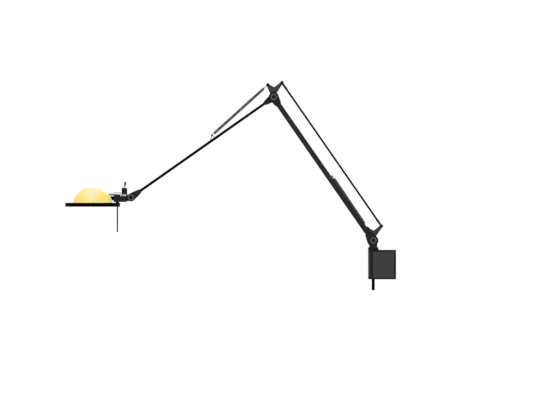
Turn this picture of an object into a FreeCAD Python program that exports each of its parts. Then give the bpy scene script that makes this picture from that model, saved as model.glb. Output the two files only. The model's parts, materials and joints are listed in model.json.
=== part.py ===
import FreeCAD, Part
import math
import os

import Sketcher

# Articulating wall lamp: a wall box with a spindle, a balanced lower arm with a tie rod that keeps
# the yokes upright, an outer arm, and a small head with a disc and a glass dome.
#
# Frame: the wall is the plane X = 0 and the lamp reaches out along -X; +Z is up, and Y is across.
# The origin is the middle of the wall box's back face. Lengths are millimetres, angles degrees.
# Left is +Y and right is -Y.

DIMENSIONS = {
    # Layout of the pivots, in the pose that the lamp is drawn in
    "spindle_out": 58,  # the spindle's axis, from the wall
    "base_pivot_up": 62,  # the base pivot, above the box's middle
    "lower_arm_length": 450,  # pivot to pivot
    "lower_arm_lean": 34.75,  # from upright, out from the wall
    "outer_arm_length": 450,
    "outer_arm_drop": 35.1,  # below level
    # Clearances
    "running_gap": 0.05,  # a pin in its bore, on the radius
    "side_gap": 0.3,  # between faces that turn past each other
    "seat_gap": 0.2,  # between a loose piece and its seat
    # Wall box
    "box_depth": 71,
    "box_height": 75.4,
    "box_width": 46,
    "cover_wall": 2,
    "box_front_radius": 13,
    "box_edge_radius": 1.5,
    "plate_thickness": 3,
    "wall_screw_radius": 2.4,
    "wall_screw_across": 32.8,
    "wall_screw_upright": 58,
    "cable_hole_radius": 6,
    "cable_hole_down": 20,
    "bracket_strip": 3,
    "bracket_width": 24,
    "bracket_window_half": 7.5,  # round the cable hole
    "bracket_nose": 9.5,  # past the spindle's axis
    "boss_radius": 9,
    "boss_length": 7,
    "cover_screw_radius": 1.5,
    "cover_screw_head_radius": 3,
    "cover_screw_from_wall": 20,
    "cover_screw_across": 16,
    "transformer_depth": 32,
    "transformer_width": 34,
    "transformer_height": 32,
    "transformer_up": 8,
    "transformer_chamfer": 2,
    "terminal_depth": 22,
    "terminal_width": 24,
    "terminal_height": 12,
    "terminal_front": 36,
    "terminal_screw_radius": 2,
    "lead_radius": 1,
    "lead_across": 12,
    # Spindle
    "spindle_radius": 4,
    "spindle_stub": 28.6,  # below the box
    "spindle_top_drop": 5,  # the spindle's top, below the base pivot
    "bush_wall": 1.95,
    "bush_flange_radius": 8,
    "bush_flange": 1.5,
    "collar_radius": 13.5,
    "collar_height": 6,
    "sleeve_wall": 0.8,
    "sleeve_length": 30,
    "sleeve_end_gap": 1,  # between the sleeve and the upper bush
    "ring_wall": 0.9,
    "ring_height": 5,
    "ring_spacing": 14,
    "brush_width": 4,
    "brush_thickness": 1,
    "clip_radius": 6.8,
    "clip_thickness": 1,
    # Yokes
    "eye_radius": 9.5,
    "yoke_half": 4.4,  # half of a yoke's thickness
    "base_eye_half": 7.4,  # half of the base yoke's thickness round its pivot
    "neck_radius": 10.6,
    "tie_prong_out": 21.1,
    "tie_prong_up": 37.3,
    "spring_prong_out": 15.2,
    "spring_prong_up": 31.5,
    "prong_tip_radius": 4.4,
    "valley_out": 1.3,
    "valley_up": 25.5,
    "tie_waist_half": 8,  # a yoke's narrowest place, on the tie rod's side
    "tie_waist_up": 12,
    "spring_waist_half": 8.8,
    "spring_waist_up": 7.5,
    "rib_width": 1.5,
    "rib_depth": 1,
    "tie_pin_radius": 1.5,
    "spring_pin_radius": 1.3,
    "pin_stand": 0.6,  # a pin's end, proud of its prong
    "tie_slot_radius": 10.5,
    "spring_slot_radius": 8.5,
    # Lower arm
    "bar_width": 12.8,
    "bar_shift": 1,  # below the line between the pivots
    "bar_thickness": 2.7,
    "bar_inner": 8.5,  # a bar's inner face, from the middle plane
    "cheek_inner": 7.7,
    "cheek_outer": 12.2,
    "cheek_radius": 13,
    "cheek_shoulder": 14.5,  # where the straight flanks leave the round end, above level
    "cheek_reach": 23,
    "cheek_rim": 1.5,  # wall round a bar's end
    "base_cheek_bulge": 2.8,
    "socket_start": 12,
    "slot_recess_depth": 0.5,
    "slot_recess_half": 2.8,
    "slot_recess_length": 6.5,
    "bolt_radius": 3,
    "bolt_head_radius": 7.8,
    "bolt_head": 2.6,
    "bolt_dish_radius": 5.2,
    "bolt_dish": 1.1,
    "hex_key": 5,  # across the flats
    "nut_radius": 6.4,
    "nut_height": 4.5,
    "bolt_end": 1,
    "anchor_along": 196,
    "anchor_off": 7.5,
    "block_length": 8,
    "block_width": 7.4,
    "spacer_from_elbow": 71,
    "rivet_radius": 1.6,
    "lug_radius": 3.2,
    "lug_ear": 1.6,
    "lug_slot_gap": 0.7,  # round the spring's eye, so that its stem can swing
    # Tie rod
    "tie_rod_radius": 2.5,
    "tie_rod_start": 14,  # the rod's end, from the pin
    "tie_eye_radius": 4.4,
    "tie_eye_half": 1.6,
    "tie_neck_half": 2.6,
    "ferrule_radius": 3.1,
    "ferrule_start": 13,
    "ferrule_length": 8,
    # Outer arm
    "tube_radius": 3.45,
    "tube_wall": 0.9,
    "fork_inner": 4.7,
    "fork_outer": 7.4,
    "fork_radius": 10.2,
    "fork_bridge": 16,
    "fork_bridge_half": 8,
    "fork_neck": 23,
    "fork_flare": 2,  # the neck's cone starts this far inside the bridge
    "fork_reach": 30,
    "fork_collar_radius": 6,
    "fork_tip_radius": 4.2,
    "tube_seat": 18,
    "loop_along": 187,
    "loop_off": 11,
    "loop_foot_near": 184.5,
    "loop_foot_far": 202,
    "loop_wire_radius": 0.85,
    # Springs
    "spring_wire_radius": 0.6,
    "outer_coil_radius": 3.4,
    "outer_coil_turns": 50,
    "lower_coil_radius": 3.9,
    "lower_coil_turns": 44,
    "coil_start": 14,  # the coil's end, from the prong's pin
    "coil_foot": 7,  # the coil's other end, from its anchor
    "hook_rod_radius": 0.9,
    "hook_rod_length": 62,
    "hook_eye_radius": 3,
    "hook_eye_half": 1.1,
    "plug_length": 8,
    "plug_gap": 0.15,
    # Head
    "head_bracket_half": 7,
    "head_bracket_end": 45,
    "head_bracket_start": 11.2,
    "head_bracket_top": 3.1,
    "head_bracket_bottom": 11.8,
    "head_bracket_wall": 1.8,
    "head_bracket_round": 2,
    "head_lead_radius": 0.8,
    "disc_radius": 70.65,
    "disc_thickness": 10.1,
    "disc_out": 98.9,  # the disc's middle, from the head pivot
    "disc_gap": 2,  # between bracket and disc
    "disc_edge_radius": 1,
    "disc_aperture_radius": 44,
    "disc_recess_radius": 57,
    "disc_recess": 7,
    "dome_radius": 52.4,
    "dome_height": 41.8,
    "dome_wall": 2.5,
    "dome_groove": 1,
    "dome_hole_radius": 4.2,
    "reflector_sheet": 0.8,
    "lower_glass_thickness": 2.4,
    "retainer_radius": 0.5,
    "handle_radius": 1.7,
    "handle_out": 35,
    "handle_length": 64,
    "handle_grip": 6,  # inside the bracket
    "spacer_radius": 4,
    "clip_half": 3,
    "clip_drop": 7,
    "clip_tip": 2,
    "clip_tip_slant": 1,
    "holder_radius": 5.4,
    "holder_start": 26.8,
    "holder_length": 16.8,
    "holder_nose_radius": 3.7,
    "holder_nose_length": 22.5,
    "bulb_radius": 6,
    "bulb_length": 24,
    "bulb_pinch": 6,
    "bulb_pinch_half": 1.6,
    "bulb_pin_radius": 0.5,
    "bulb_pin_length": 3,
    "bulb_pin_spread": 4,
    "switch_out": 17,
    "switch_nut_radius": 7.95,
    "switch_nut_height": 5.7,
    "switch_radius": 7.5,
    "switch_height": 15.3,
    "switch_groove": 0.6,
    "switch_grooves": 4,
    "bushing_radius": 3.7,
    "bushing_top_radius": 2.6,
    "bushing_height": 4.6,
    "bushing_bore_radius": 2.05,
    "lever_lean": 11,
    "lever_length": 13,
    "lever_root_radius": 1,
    "lever_grip_start": 4.2,
    "lever_grip_radius": 2.1,
    "lever_tip_radius": 2.3,
    "lever_hub_radius": 1.7,
    "lever_hub_half": 0.9,
}

doc = FreeCAD.newDocument("articulating_wall_lamp")
sheet = doc.addObject("Spreadsheet::Sheet", "Size")
for row, (name, number) in enumerate(DIMENSIONS.items(), start=1):
    sheet.set(f"A{row}", name)
    sheet.set(f"B{row}", str(number))
    sheet.setAlias(f"B{row}", name)
doc.recompute()

UP = FreeCAD.Vector(0, 0, 1)
ACROSS = FreeCAD.Vector(0, 1, 0)
OUT = FreeCAD.Vector(1, 0, 0)


class Length:
    """A size worked out from the sheet's cells: its formula, and the number that it gives."""

    def __init__(self, formula, number):
        self.formula = formula
        self.number = number

    def _with(self, sign, other, number):
        return Length(f"({self.formula} {sign} {as_length(other).formula})", number)

    def __add__(self, other):
        return self._with("+", other, self.number + as_length(other).number)

    def __sub__(self, other):
        return self._with("-", other, self.number - as_length(other).number)

    def __mul__(self, other):
        return self._with("*", other, self.number * as_length(other).number)

    def __truediv__(self, other):
        return self._with("/", other, self.number / as_length(other).number)

    def __neg__(self):
        return as_length(0) - self

    def __radd__(self, other):
        return as_length(other) + self

    def __rsub__(self, other):
        return as_length(other) - self

    def __rmul__(self, other):
        return as_length(other) * self


def as_length(size):
    return size if isinstance(size, Length) else Length(str(size), float(size))


def sine(angle):
    return Length(f"sin({angle.formula})", math.sin(math.radians(angle.number)))


def cosine(angle):
    return Length(f"cos({angle.formula})", math.cos(math.radians(angle.number)))


def root(size):
    return Length(f"sqrt({size.formula})", math.sqrt(size.number))


def heading(out, up):
    """The turn about +Y that takes +Z to the direction (out, up)."""
    number = math.degrees(math.atan2(out.number, up.number))
    return Length(f"(atan2({out.formula}; {up.formula}) / 1 deg)", number)


class Sizes:
    """The sheet's driving dimensions, by name."""

    def __getattr__(self, name):
        return Length(f"Size.{name}", float(sheet.get(name)))


s = Sizes()
NONE = as_length(0)


# ---------------------------------------------------------------- helpers that make one object each


def bind(piece, **sizes):
    """Ties an object's properties to the sheet."""
    for name, size in sizes.items():
        piece.setExpression(name.replace("__", "."), as_length(size).formula)
    return piece


def put(piece, x=0, y=0, z=0, axis=UP, angle=0):
    """Places an object: turned by the angle about the axis, then moved to the point."""
    nonzero = 30  # a turn of nothing would lose its axis; the expression sets the real angle
    piece.Placement = FreeCAD.Placement(FreeCAD.Vector(), FreeCAD.Rotation(axis, nonzero))
    bind(piece, Placement__Base__x=x, Placement__Base__y=y, Placement__Base__z=z)
    return bind(piece, Placement__Rotation__Angle=angle)


def new(kind, name, **sizes):
    return bind(doc.addObject(f"Part::{kind}", name), **sizes)


def block(name, low, high):
    """A box between two corners."""
    spans = [as_length(b) - as_length(a) for a, b in zip(low, high)]
    box = new("Box", name, Length=spans[0], Width=spans[1], Height=spans[2])
    return put(box, *low)


def upright(name, radius, x, y, low, high):
    """A cylinder along Z."""
    rod = new("Cylinder", name, Radius=radius, Height=as_length(high) - as_length(low))
    return put(rod, x, y, low)


def crosswise(name, radius, x, z, low, high):
    """A cylinder along Y."""
    rod = new("Cylinder", name, Radius=radius, Height=as_length(high) - as_length(low))
    return put(rod, x, low, z, OUT, -90)


def outward(name, radius, y, z, low, high):
    """A cylinder along X."""
    rod = new("Cylinder", name, Radius=radius, Height=as_length(high) - as_length(low))
    return put(rod, low, y, z, ACROSS, 90)


def cone(name, low_radius, high_radius, x, y, low, high):
    """A cone along Z."""
    height = as_length(high) - as_length(low)
    return put(new("Cone", name, Radius1=low_radius, Radius2=high_radius, Height=height), x, y, low)


def fuse(name, *pieces):
    joined = doc.addObject("Part::MultiFuse", name)
    joined.Shapes = list(pieces)
    joined.Refine = True
    return joined


def cut(name, base, *tools):
    less = doc.addObject("Part::Cut", name)
    less.Base = base
    less.Tool = tools[0] if len(tools) == 1 else fuse(name + "_tools", *tools)
    return less


def common(name, first, second):
    shared = doc.addObject("Part::Common", name)
    shared.Base = first
    shared.Tool = second
    return shared


def group(name, *pieces):
    """Separate solids that share one node, or one solid in a frame of its own."""
    several = doc.addObject("Part::Compound", name)
    several.Links = list(pieces)
    return several


def edge_is(direction):
    """A test for straight edges along a direction."""

    def along(edge):
        if len(edge.Vertexes) != 2 or not isinstance(edge.Curve, (Part.Line, Part.LineSegment)):
            return False
        run = edge.Vertexes[1].Point - edge.Vertexes[0].Point
        return run.cross(direction).Length < 1e-6 * run.Length

    return along


def numbers_of_edges(shape, wanted):
    return [i for i, edge in enumerate(shape.Edges, start=1) if wanted(edge)]


def plane_of(body, role):
    return next(f for f in body.Origin.OriginFeatures if f.Role == role)


def outline(body, name, plane, points):
    """A closed outline of straight runs, each corner tied to the sheet. On XZ_Plane a sketch's
    first direction is +X and its second is +Z; on XY_Plane they are +X and +Y."""
    sketch = body.newObject("Sketcher::SketchObject", name)
    sketch.AttachmentSupport = (plane_of(body, plane), [""])
    sketch.MapMode = "FlatFace"
    ends = [(as_length(a), as_length(b)) for a, b in points]
    corners = [FreeCAD.Vector(a.number, b.number, 0) for a, b in ends]
    for i, corner in enumerate(corners):
        sketch.addGeometry(Part.LineSegment(corner, corners[(i + 1) % len(corners)]), False)
    for i, (a, b) in enumerate(ends):
        sketch.addConstraint(Sketcher.Constraint("Coincident", i, 2, (i + 1) % len(ends), 1))
        for kind, size in (("DistanceX", a), ("DistanceY", b)):
            at = sketch.addConstraint(Sketcher.Constraint(kind, -1, 1, i, 1, size.number))
            sketch.setExpression(f"Constraints[{at}]", size.formula)
    return sketch


def slab(name, points, low, high):
    """An outline in the X-Z plane, as a body from Y = low to Y = high."""
    body = doc.addObject("PartDesign::Body", name)
    sketch = outline(body, name + "_outline", "XZ_Plane", points)
    pad = body.newObject("PartDesign::Pad", name + "_pad")
    pad.Profile = sketch
    pad.Reversed = True
    bind(pad, Length=as_length(high) - as_length(low))
    return bind(body, Placement__Base__y=low)


PARTS = []


def part(label, piece, at=(0, 0, 0), turn=0):
    """Makes an object a sub-part: its label names its file, and its placement its pivot's frame."""
    piece.Label = label
    put(piece, *at, ACROSS, turn)
    PARTS.append(piece)
    return piece


# ------------------------------------------------------------------------------ places and frames

LEAN = -s.lower_arm_lean
DROP = -(s.outer_arm_drop + 90)
BASE = (-s.spindle_out, NONE, s.base_pivot_up)
ELBOW = (
    BASE[0] - s.lower_arm_length * sine(s.lower_arm_lean),
    NONE,
    BASE[2] + s.lower_arm_length * cosine(s.lower_arm_lean),
)
HEAD = (
    ELBOW[0] - s.outer_arm_length * cosine(s.outer_arm_drop),
    NONE,
    ELBOW[2] - s.outer_arm_length * sine(s.outer_arm_drop),
)
SPACER_ALONG = s.lower_arm_length - s.spacer_from_elbow
BASE_TIE = (BASE[0] + s.tie_prong_out, NONE, BASE[2] + s.tie_prong_up)
BASE_SPRING = (BASE[0] - s.spring_prong_out, NONE, BASE[2] + s.spring_prong_up)
ELBOW_SPRING = (ELBOW[0] - s.spring_prong_out, NONE, ELBOW[2] + s.spring_prong_up)

BOX_TOP = s.box_height / 2
COVER_INSIDE = BOX_TOP - s.cover_wall
FRAME_TOP = COVER_INSIDE - s.seat_gap
BUSH_RADIUS = s.spindle_radius + s.running_gap + s.bush_wall
BUSH_END = FRAME_TOP - s.bracket_strip - s.boss_length - s.bush_flange
COLLAR_LOW = BOX_TOP + s.side_gap
COLLAR_TOP = COLLAR_LOW + s.collar_height
TRANSFORMER_BACK = -(s.plate_thickness + s.bracket_strip)
TRANSFORMER_FRONT = TRANSFORMER_BACK - s.transformer_depth
TRANSFORMER_LOW = s.transformer_up - s.transformer_height / 2
TERMINAL_LOW = -(FRAME_TOP - s.bracket_strip)
RING_RADIUS = s.spindle_radius + s.sleeve_wall + s.ring_wall


# ----------------------------------------------------------------------------------- the wall box


def wall_screw_places():
    for side in (-1, 1):
        for end in (-1, 1):
            yield s.wall_screw_across * side / 2, s.wall_screw_upright * end / 2


def wall_plate():
    half_width = s.box_width / 2 - s.cover_wall - s.seat_gap
    low = (-s.plate_thickness, -half_width, -FRAME_TOP)
    plate = block("plate_blank", low, (0, half_width, FRAME_TOP))
    holes = [
        outward(f"plate_screw_hole_{i}", s.wall_screw_radius, y, z, -s.plate_thickness, 0)
        for i, (y, z) in enumerate(wall_screw_places())
    ]
    inlet = outward("plate_inlet", s.cable_hole_radius, 0, -s.cable_hole_down, -s.plate_thickness, 0)
    part("wall_plate", cut("plate", plate, inlet, *holes))


def box_prism(name, inset):
    """The cover's outline seen from above, as a full-height body: its front corners are round."""
    body = doc.addObject("PartDesign::Body", name)
    front, side = -(s.box_depth - inset), s.box_width / 2 - inset
    back = NONE
    corners = [(back, -side), (back, side), (front, side), (front, -side)]
    sketch = outline(body, name + "_plan", "XY_Plane", corners)
    pad = body.newObject("PartDesign::Pad", name + "_pad")
    pad.Profile = sketch
    bind(pad, Length=s.box_height - 2 * inset)
    doc.recompute()
    round_front = body.newObject("PartDesign::Fillet", name + "_front")
    tall = edge_is(UP)
    edges = numbers_of_edges(
        pad.Shape, lambda e: tall(e) and abs(e.Vertexes[0].X - front.number) < 1e-3
    )
    round_front.Base = (pad, [f"Edge{i}" for i in edges])
    bind(round_front, Radius=s.box_front_radius - inset)
    return body, round_front


def cover():
    body, front = box_prism("cover_outside", NONE)
    doc.recompute()
    rim = body.newObject("PartDesign::Fillet", "cover_edges")
    flat = lambda e: all(abs(v.Z - e.Vertexes[0].Z) < 1e-6 for v in e.Vertexes)
    away = lambda e: max(v.X for v in e.Vertexes) < -1 or min(v.X for v in e.Vertexes) < -1
    edges = numbers_of_edges(front.Shape, lambda e: flat(e) and away(e))
    rim.Base = (front, [f"Edge{i}" for i in edges])
    bind(rim, Radius=s.box_edge_radius)
    bind(body, Placement__Base__z=-BOX_TOP)
    hollow, _ = box_prism("cover_inside", s.cover_wall)
    bind(hollow, Placement__Base__z=-COVER_INSIDE)
    mouth = upright("cover_spindle_hole", BUSH_RADIUS, -s.spindle_out, 0, -BOX_TOP, BOX_TOP)
    screws = [
        upright(
            f"cover_screw_hole_{i}",
            s.cover_screw_head_radius,
            -s.cover_screw_from_wall,
            s.cover_screw_across * side / 2,
            -BOX_TOP,
            -COVER_INSIDE,
        )
        for i, side in enumerate((-1, 1))
    ]
    part("wall_box_cover", cut("cover", body, hollow, mouth, *screws))


def spindle_bracket():
    half = s.bracket_width / 2
    nose = -(s.spindle_out + s.bracket_nose)
    back = -s.plate_thickness
    inner = FRAME_TOP - s.bracket_strip
    pieces = [
        block("bracket_top", (nose, -half, inner), (back, half, FRAME_TOP)),
        block("bracket_bottom", (nose, -half, -FRAME_TOP), (back, half, -inner)),
        block("bracket_web", (TRANSFORMER_BACK, -half, -FRAME_TOP), (back, half, FRAME_TOP)),
        upright("bracket_boss_top", s.boss_radius, -s.spindle_out, 0, inner - s.boss_length, inner),
        upright("bracket_boss_low", s.boss_radius, -s.spindle_out, 0, -inner, s.boss_length - inner),
    ]
    bore = upright("bracket_bore", BUSH_RADIUS, -s.spindle_out, 0, -FRAME_TOP, FRAME_TOP)
    w = s.bracket_window_half
    window = block(
        "bracket_window",
        (TRANSFORMER_BACK, -w, -(s.cable_hole_down + w)),
        (back, w, w - s.cable_hole_down),
    )
    screws = [
        upright(
            f"bracket_screw_hole_{i}",
            s.cover_screw_radius,
            -s.cover_screw_from_wall,
            s.cover_screw_across * side / 2,
            -FRAME_TOP,
            -inner,
        )
        for i, side in enumerate((-1, 1))
    ]
    part("spindle_bracket", cut("bracket", fuse("bracket_solid", *pieces), bore, window, *screws))


def spindle_bushes():
    boss_end = FRAME_TOP - s.bracket_strip - s.boss_length
    bushes = []
    for side, name in ((1, "top"), (-1, "low")):
        ends = sorted((side * BOX_TOP, side * boss_end), key=lambda end: end.number)
        rims = sorted(
            (side * boss_end, side * (boss_end - s.bush_flange)), key=lambda end: end.number
        )
        sleeve = upright(f"bush_{name}_sleeve", BUSH_RADIUS, -s.spindle_out, 0, *ends)
        flange = upright(f"bush_{name}_flange", s.bush_flange_radius, -s.spindle_out, 0, *rims)
        bore_radius = s.spindle_radius + s.running_gap
        bore = upright(f"bush_{name}_bore", bore_radius, -s.spindle_out, 0, -BOX_TOP, BOX_TOP)
        bushes.append(cut(f"bush_{name}", fuse(f"bush_{name}_solid", sleeve, flange), bore))
    part("spindle_bushes", group("bushes", *bushes))


def transformer():
    half = s.transformer_width / 2
    body = doc.addObject("PartDesign::Body", "transformer_body")
    top = TRANSFORMER_LOW + s.transformer_height
    c = s.transformer_chamfer
    points = [
        (TRANSFORMER_BACK, TRANSFORMER_LOW),
        (TRANSFORMER_FRONT + c, TRANSFORMER_LOW),
        (TRANSFORMER_FRONT, TRANSFORMER_LOW + c),
        (TRANSFORMER_FRONT, top - c),
        (TRANSFORMER_FRONT + c, top),
        (TRANSFORMER_BACK, top),
    ]
    sketch = outline(body, "transformer_side", "XZ_Plane", points)
    pad = body.newObject("PartDesign::Pad", "transformer_pad")
    pad.Profile = sketch
    pad.Midplane = True
    bind(pad, Length=2 * half)
    part("transformer", body)


def terminal_block():
    half = s.terminal_width / 2
    front = -s.terminal_front
    low = (front, -half, TERMINAL_LOW)
    top = TERMINAL_LOW + s.terminal_height
    blank = block("terminal_blank", low, (front + s.terminal_depth, half, top))
    wells = [
        upright(
            f"terminal_well_{i}",
            s.terminal_screw_radius,
            front + s.terminal_depth / 4,
            s.lead_across * side / 2,
            top - s.terminal_height / 2,
            top,
        )
        for i, side in enumerate((-1, 1))
    ]
    part("terminal_block", cut("terminal", blank, *wells))


def internal_leads():
    top = TERMINAL_LOW + s.terminal_height
    x = -s.terminal_front + s.terminal_depth * 3 / 4
    leads = [
        upright(f"lead_{i}", s.lead_radius, x, s.lead_across * side / 2, top, TRANSFORMER_LOW)
        for i, side in enumerate((-1, 1))
    ]
    part("internal_leads", group("leads", *leads))


def ring_heights():
    return [s.transformer_up + s.ring_spacing * side / 2 for side in (-1, 1)]


def contact_springs():
    tip = -s.spindle_out + RING_RADIUS + s.seat_gap
    half, thin = s.brush_width / 2, s.brush_thickness / 2
    leaves = [
        block(f"brush_{i}", (tip, -half, z - thin), (TRANSFORMER_FRONT, half, z + thin))
        for i, z in enumerate(ring_heights())
    ]
    part("contact_springs", group("brushes", *leaves))


def cover_screws():
    inner = FRAME_TOP - s.bracket_strip
    screws = []
    for i, side in enumerate((-1, 1)):
        x, y = -s.cover_screw_from_wall, s.cover_screw_across * side / 2
        head = upright(
            f"screw_head_{i}", s.cover_screw_head_radius, x, y, -BOX_TOP, -COVER_INSIDE
        )
        shank = upright(f"screw_shank_{i}", s.cover_screw_radius, x, y, -COVER_INSIDE, -inner)
        hexagon = new(
            "Prism", f"screw_key_{i}", Circumradius=s.cover_screw_radius, Height=s.cover_wall / 2
        )
        put(hexagon, x, y, -BOX_TOP)
        screws.append(cut(f"screw_{i}", fuse(f"screw_solid_{i}", head, shank), hexagon))
    part("cover_screws", group("screws", *screws))


# ------------------------------------------------------------------------------------ the spindle


def spindle():
    top = s.base_pivot_up - s.spindle_top_drop
    rod = upright("spindle_rod", s.spindle_radius, -s.spindle_out, 0, -BOX_TOP - s.spindle_stub, top)
    part("spindle", rod, (-s.spindle_out, 0, -BOX_TOP - s.spindle_stub))


def round_the_spindle(label, radius, bore, low, high):
    """A ring on the spindle."""
    x = -s.spindle_out
    return cut(
        label + "_ring",
        upright(label + "_blank", radius, x, 0, low, high),
        upright(label + "_bore", bore, x, 0, low, high),
    )


def spindle_fittings():
    collar = round_the_spindle("collar", s.collar_radius, s.spindle_radius, COLLAR_LOW, COLLAR_TOP)
    part("thrust_collar", collar)
    sleeve_radius = s.spindle_radius + s.sleeve_wall
    top = BUSH_END - s.sleeve_end_gap
    part(
        "insulating_sleeve",
        round_the_spindle("sleeve", sleeve_radius, s.spindle_radius, top - s.sleeve_length, top),
    )
    rings = [
        round_the_spindle(
            f"contact_{i}", RING_RADIUS, sleeve_radius, z - s.ring_height / 2, z + s.ring_height / 2
        )
        for i, z in enumerate(ring_heights())
    ]
    part("contact_rings", group("rings", *rings))
    clip_low = s.side_gap - BUSH_END
    part(
        "spindle_clip",
        round_the_spindle(
            "clip", s.clip_radius, s.spindle_radius, clip_low, clip_low + s.clip_thickness
        ),
    )


# -------------------------------------------------------------------------------------- the yokes


def yoke_points(inset):
    """The outline of a yoke's two prongs, seen from the side, drawn in by the inset."""
    tip = s.prong_tip_radius - inset
    tie_x, tie_z = s.tie_prong_out, s.tie_prong_up
    spring_x, spring_z = -s.spring_prong_out, s.spring_prong_up
    lean = 0.8  # how far a prong's edges stand off its tip's centre, as a share of the tip's radius
    return [
        (s.tie_waist_half - inset, s.tie_waist_up),
        (tie_x + tip * lean, tie_z - tip * (1 - lean)),
        (tie_x - tip * lean, tie_z + tip * (1 - lean)),
        (s.valley_out, s.valley_up - inset),
        (spring_x + tip * lean, spring_z + tip * (1 - lean)),
        (spring_x - tip * lean, spring_z - tip * (1 - lean)),
        (inset - s.spring_waist_half, s.spring_waist_up),
        (inset - s.spring_waist_half, 0),
        (s.tie_waist_half - inset, 0),
    ]


def yoke(label, eye_half, bolt_bore, extra):
    """A yoke whose pivot is at the origin: a pierced plate with an eye, two slotted prongs with a
    pin hole each, and sunk panels between raised ribs on both faces."""
    half = s.yoke_half
    tie, spring = (s.tie_prong_out, s.tie_prong_up), (-s.spring_prong_out, s.spring_prong_up)
    solid = fuse(
        label + "_solid",
        slab(label + "_web", yoke_points(NONE), -half, half),
        crosswise(label + "_eye", s.eye_radius, 0, 0, -eye_half, eye_half),
        crosswise(label + "_tie_tip", s.prong_tip_radius, *tie, -half, half),
        crosswise(label + "_spring_tip", s.prong_tip_radius, *spring, -half, half),
        *extra,
    )
    keep = s.eye_radius + s.rib_width
    sunk = []
    for side, name in ((-1, "right"), (1, "left")):
        low, high = sorted((side * half, side * (half - s.rib_depth)), key=lambda y: y.number)
        panel = slab(f"{label}_panel_{name}", yoke_points(s.rib_width), low, high)
        hub = crosswise(f"{label}_hub_{name}", keep, 0, 0, low, high)
        tips = [
            crosswise(f"{label}_boss_{end}_{name}", s.prong_tip_radius, *place, low, high)
            for end, place in (("tie", tie), ("spring", spring))
        ]
        sunk.append(cut(f"{label}_sunk_{name}", panel, hub, *tips))
    slots = [
        crosswise(f"{label}_tie_slot", s.tie_slot_radius, *tie, *slot_faces(s.tie_eye_half)),
        crosswise(f"{label}_spring_slot", s.spring_slot_radius, *spring, *slot_faces(s.hook_eye_half)),
    ]
    holes = [
        crosswise(label + "_bolt_hole", bolt_bore, 0, 0, -eye_half, eye_half),
        crosswise(label + "_tie_hole", s.tie_pin_radius, *tie, -half, half),
        crosswise(label + "_spring_hole", s.spring_pin_radius, *spring, -half, half),
    ]
    return solid, [*sunk, *slots, *holes]


def slot_faces(eye_half):
    return -(eye_half + s.side_gap), eye_half + s.side_gap


def yoke_pins(label, at):
    end = s.yoke_half + s.pin_stand
    pins = group(
        label + "_group",
        crosswise(label + "_tie", s.tie_pin_radius, s.tie_prong_out, s.tie_prong_up, -end, end),
        crosswise(
            label + "_spring", s.spring_pin_radius, -s.spring_prong_out, s.spring_prong_up, -end, end
        ),
    )
    part(label, pins, at)


def base_yoke():
    drop = s.base_pivot_up - COLLAR_TOP
    neck_round = upright("neck_round", s.neck_radius, 0, 0, -drop, 0)
    flat = s.base_eye_half
    wide = s.neck_radius
    neck_flat = block("neck_flat", (-wide, -flat, -drop), (wide, flat, 0))
    neck = common("neck", neck_round, neck_flat)
    bore = s.bolt_radius + s.running_gap
    solid, tools = yoke("base", s.base_eye_half, bore, [neck])
    seat = upright("spindle_seat", s.spindle_radius, 0, 0, -drop, -s.spindle_top_drop)
    part("base_yoke", cut("base_yoke_solid", solid, seat, *tools), BASE)
    yoke_pins("base_yoke_pins", BASE)


def elbow_yoke():
    bore = s.bolt_radius + s.running_gap
    solid, tools = yoke("elbow", s.yoke_half, bore, [])
    part("elbow_yoke", cut("elbow_yoke_solid", solid, *tools), ELBOW)
    yoke_pins("elbow_yoke_pins", ELBOW)


# ---------------------------------------------------------------------------------- the lower arm


def bar_section(name, side, middle, low, high):
    """A bar of the lower arm, or its socket: flat faces and round edges."""
    faces = side_faces(side, s.bar_inner, s.bar_inner + s.bar_thickness)
    edge = s.bar_thickness / 2
    near, far = middle - s.bar_width / 2 + edge, middle + s.bar_width / 2 - edge
    y = (faces[0] + faces[1]) / 2
    return fuse(
        name,
        block(name + "_flat", (near, faces[0], low), (far, faces[1], high)),
        upright(name + "_edge_a", edge, near, y, low, high),
        upright(name + "_edge_b", edge, far, y, low, high),
    )


def lower_arm_bars():
    low, high = s.socket_start, s.lower_arm_length - s.socket_start
    for side, name in ((1, "left"), (-1, "right")):
        bar = bar_section(f"bar_{name}", side, -s.bar_shift, low, high)
        holes = [
            crosswise(
                f"bar_{name}_hole_{i}",
                s.rivet_radius,
                0,
                z,
                *side_faces(side, s.bar_inner, s.bar_inner + s.bar_thickness),
            )
            for i, z in enumerate(rivet_places())
        ]
        part(f"lower_arm_bar_{name}", cut(f"bar_{name}_drilled", bar, *holes), BASE, LEAN)


def side_faces(side, inner, outer):
    return (inner, outer) if side > 0 else (-outer, -inner)


def rivet_places():
    return [s.anchor_along, SPACER_ALONG]


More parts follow.
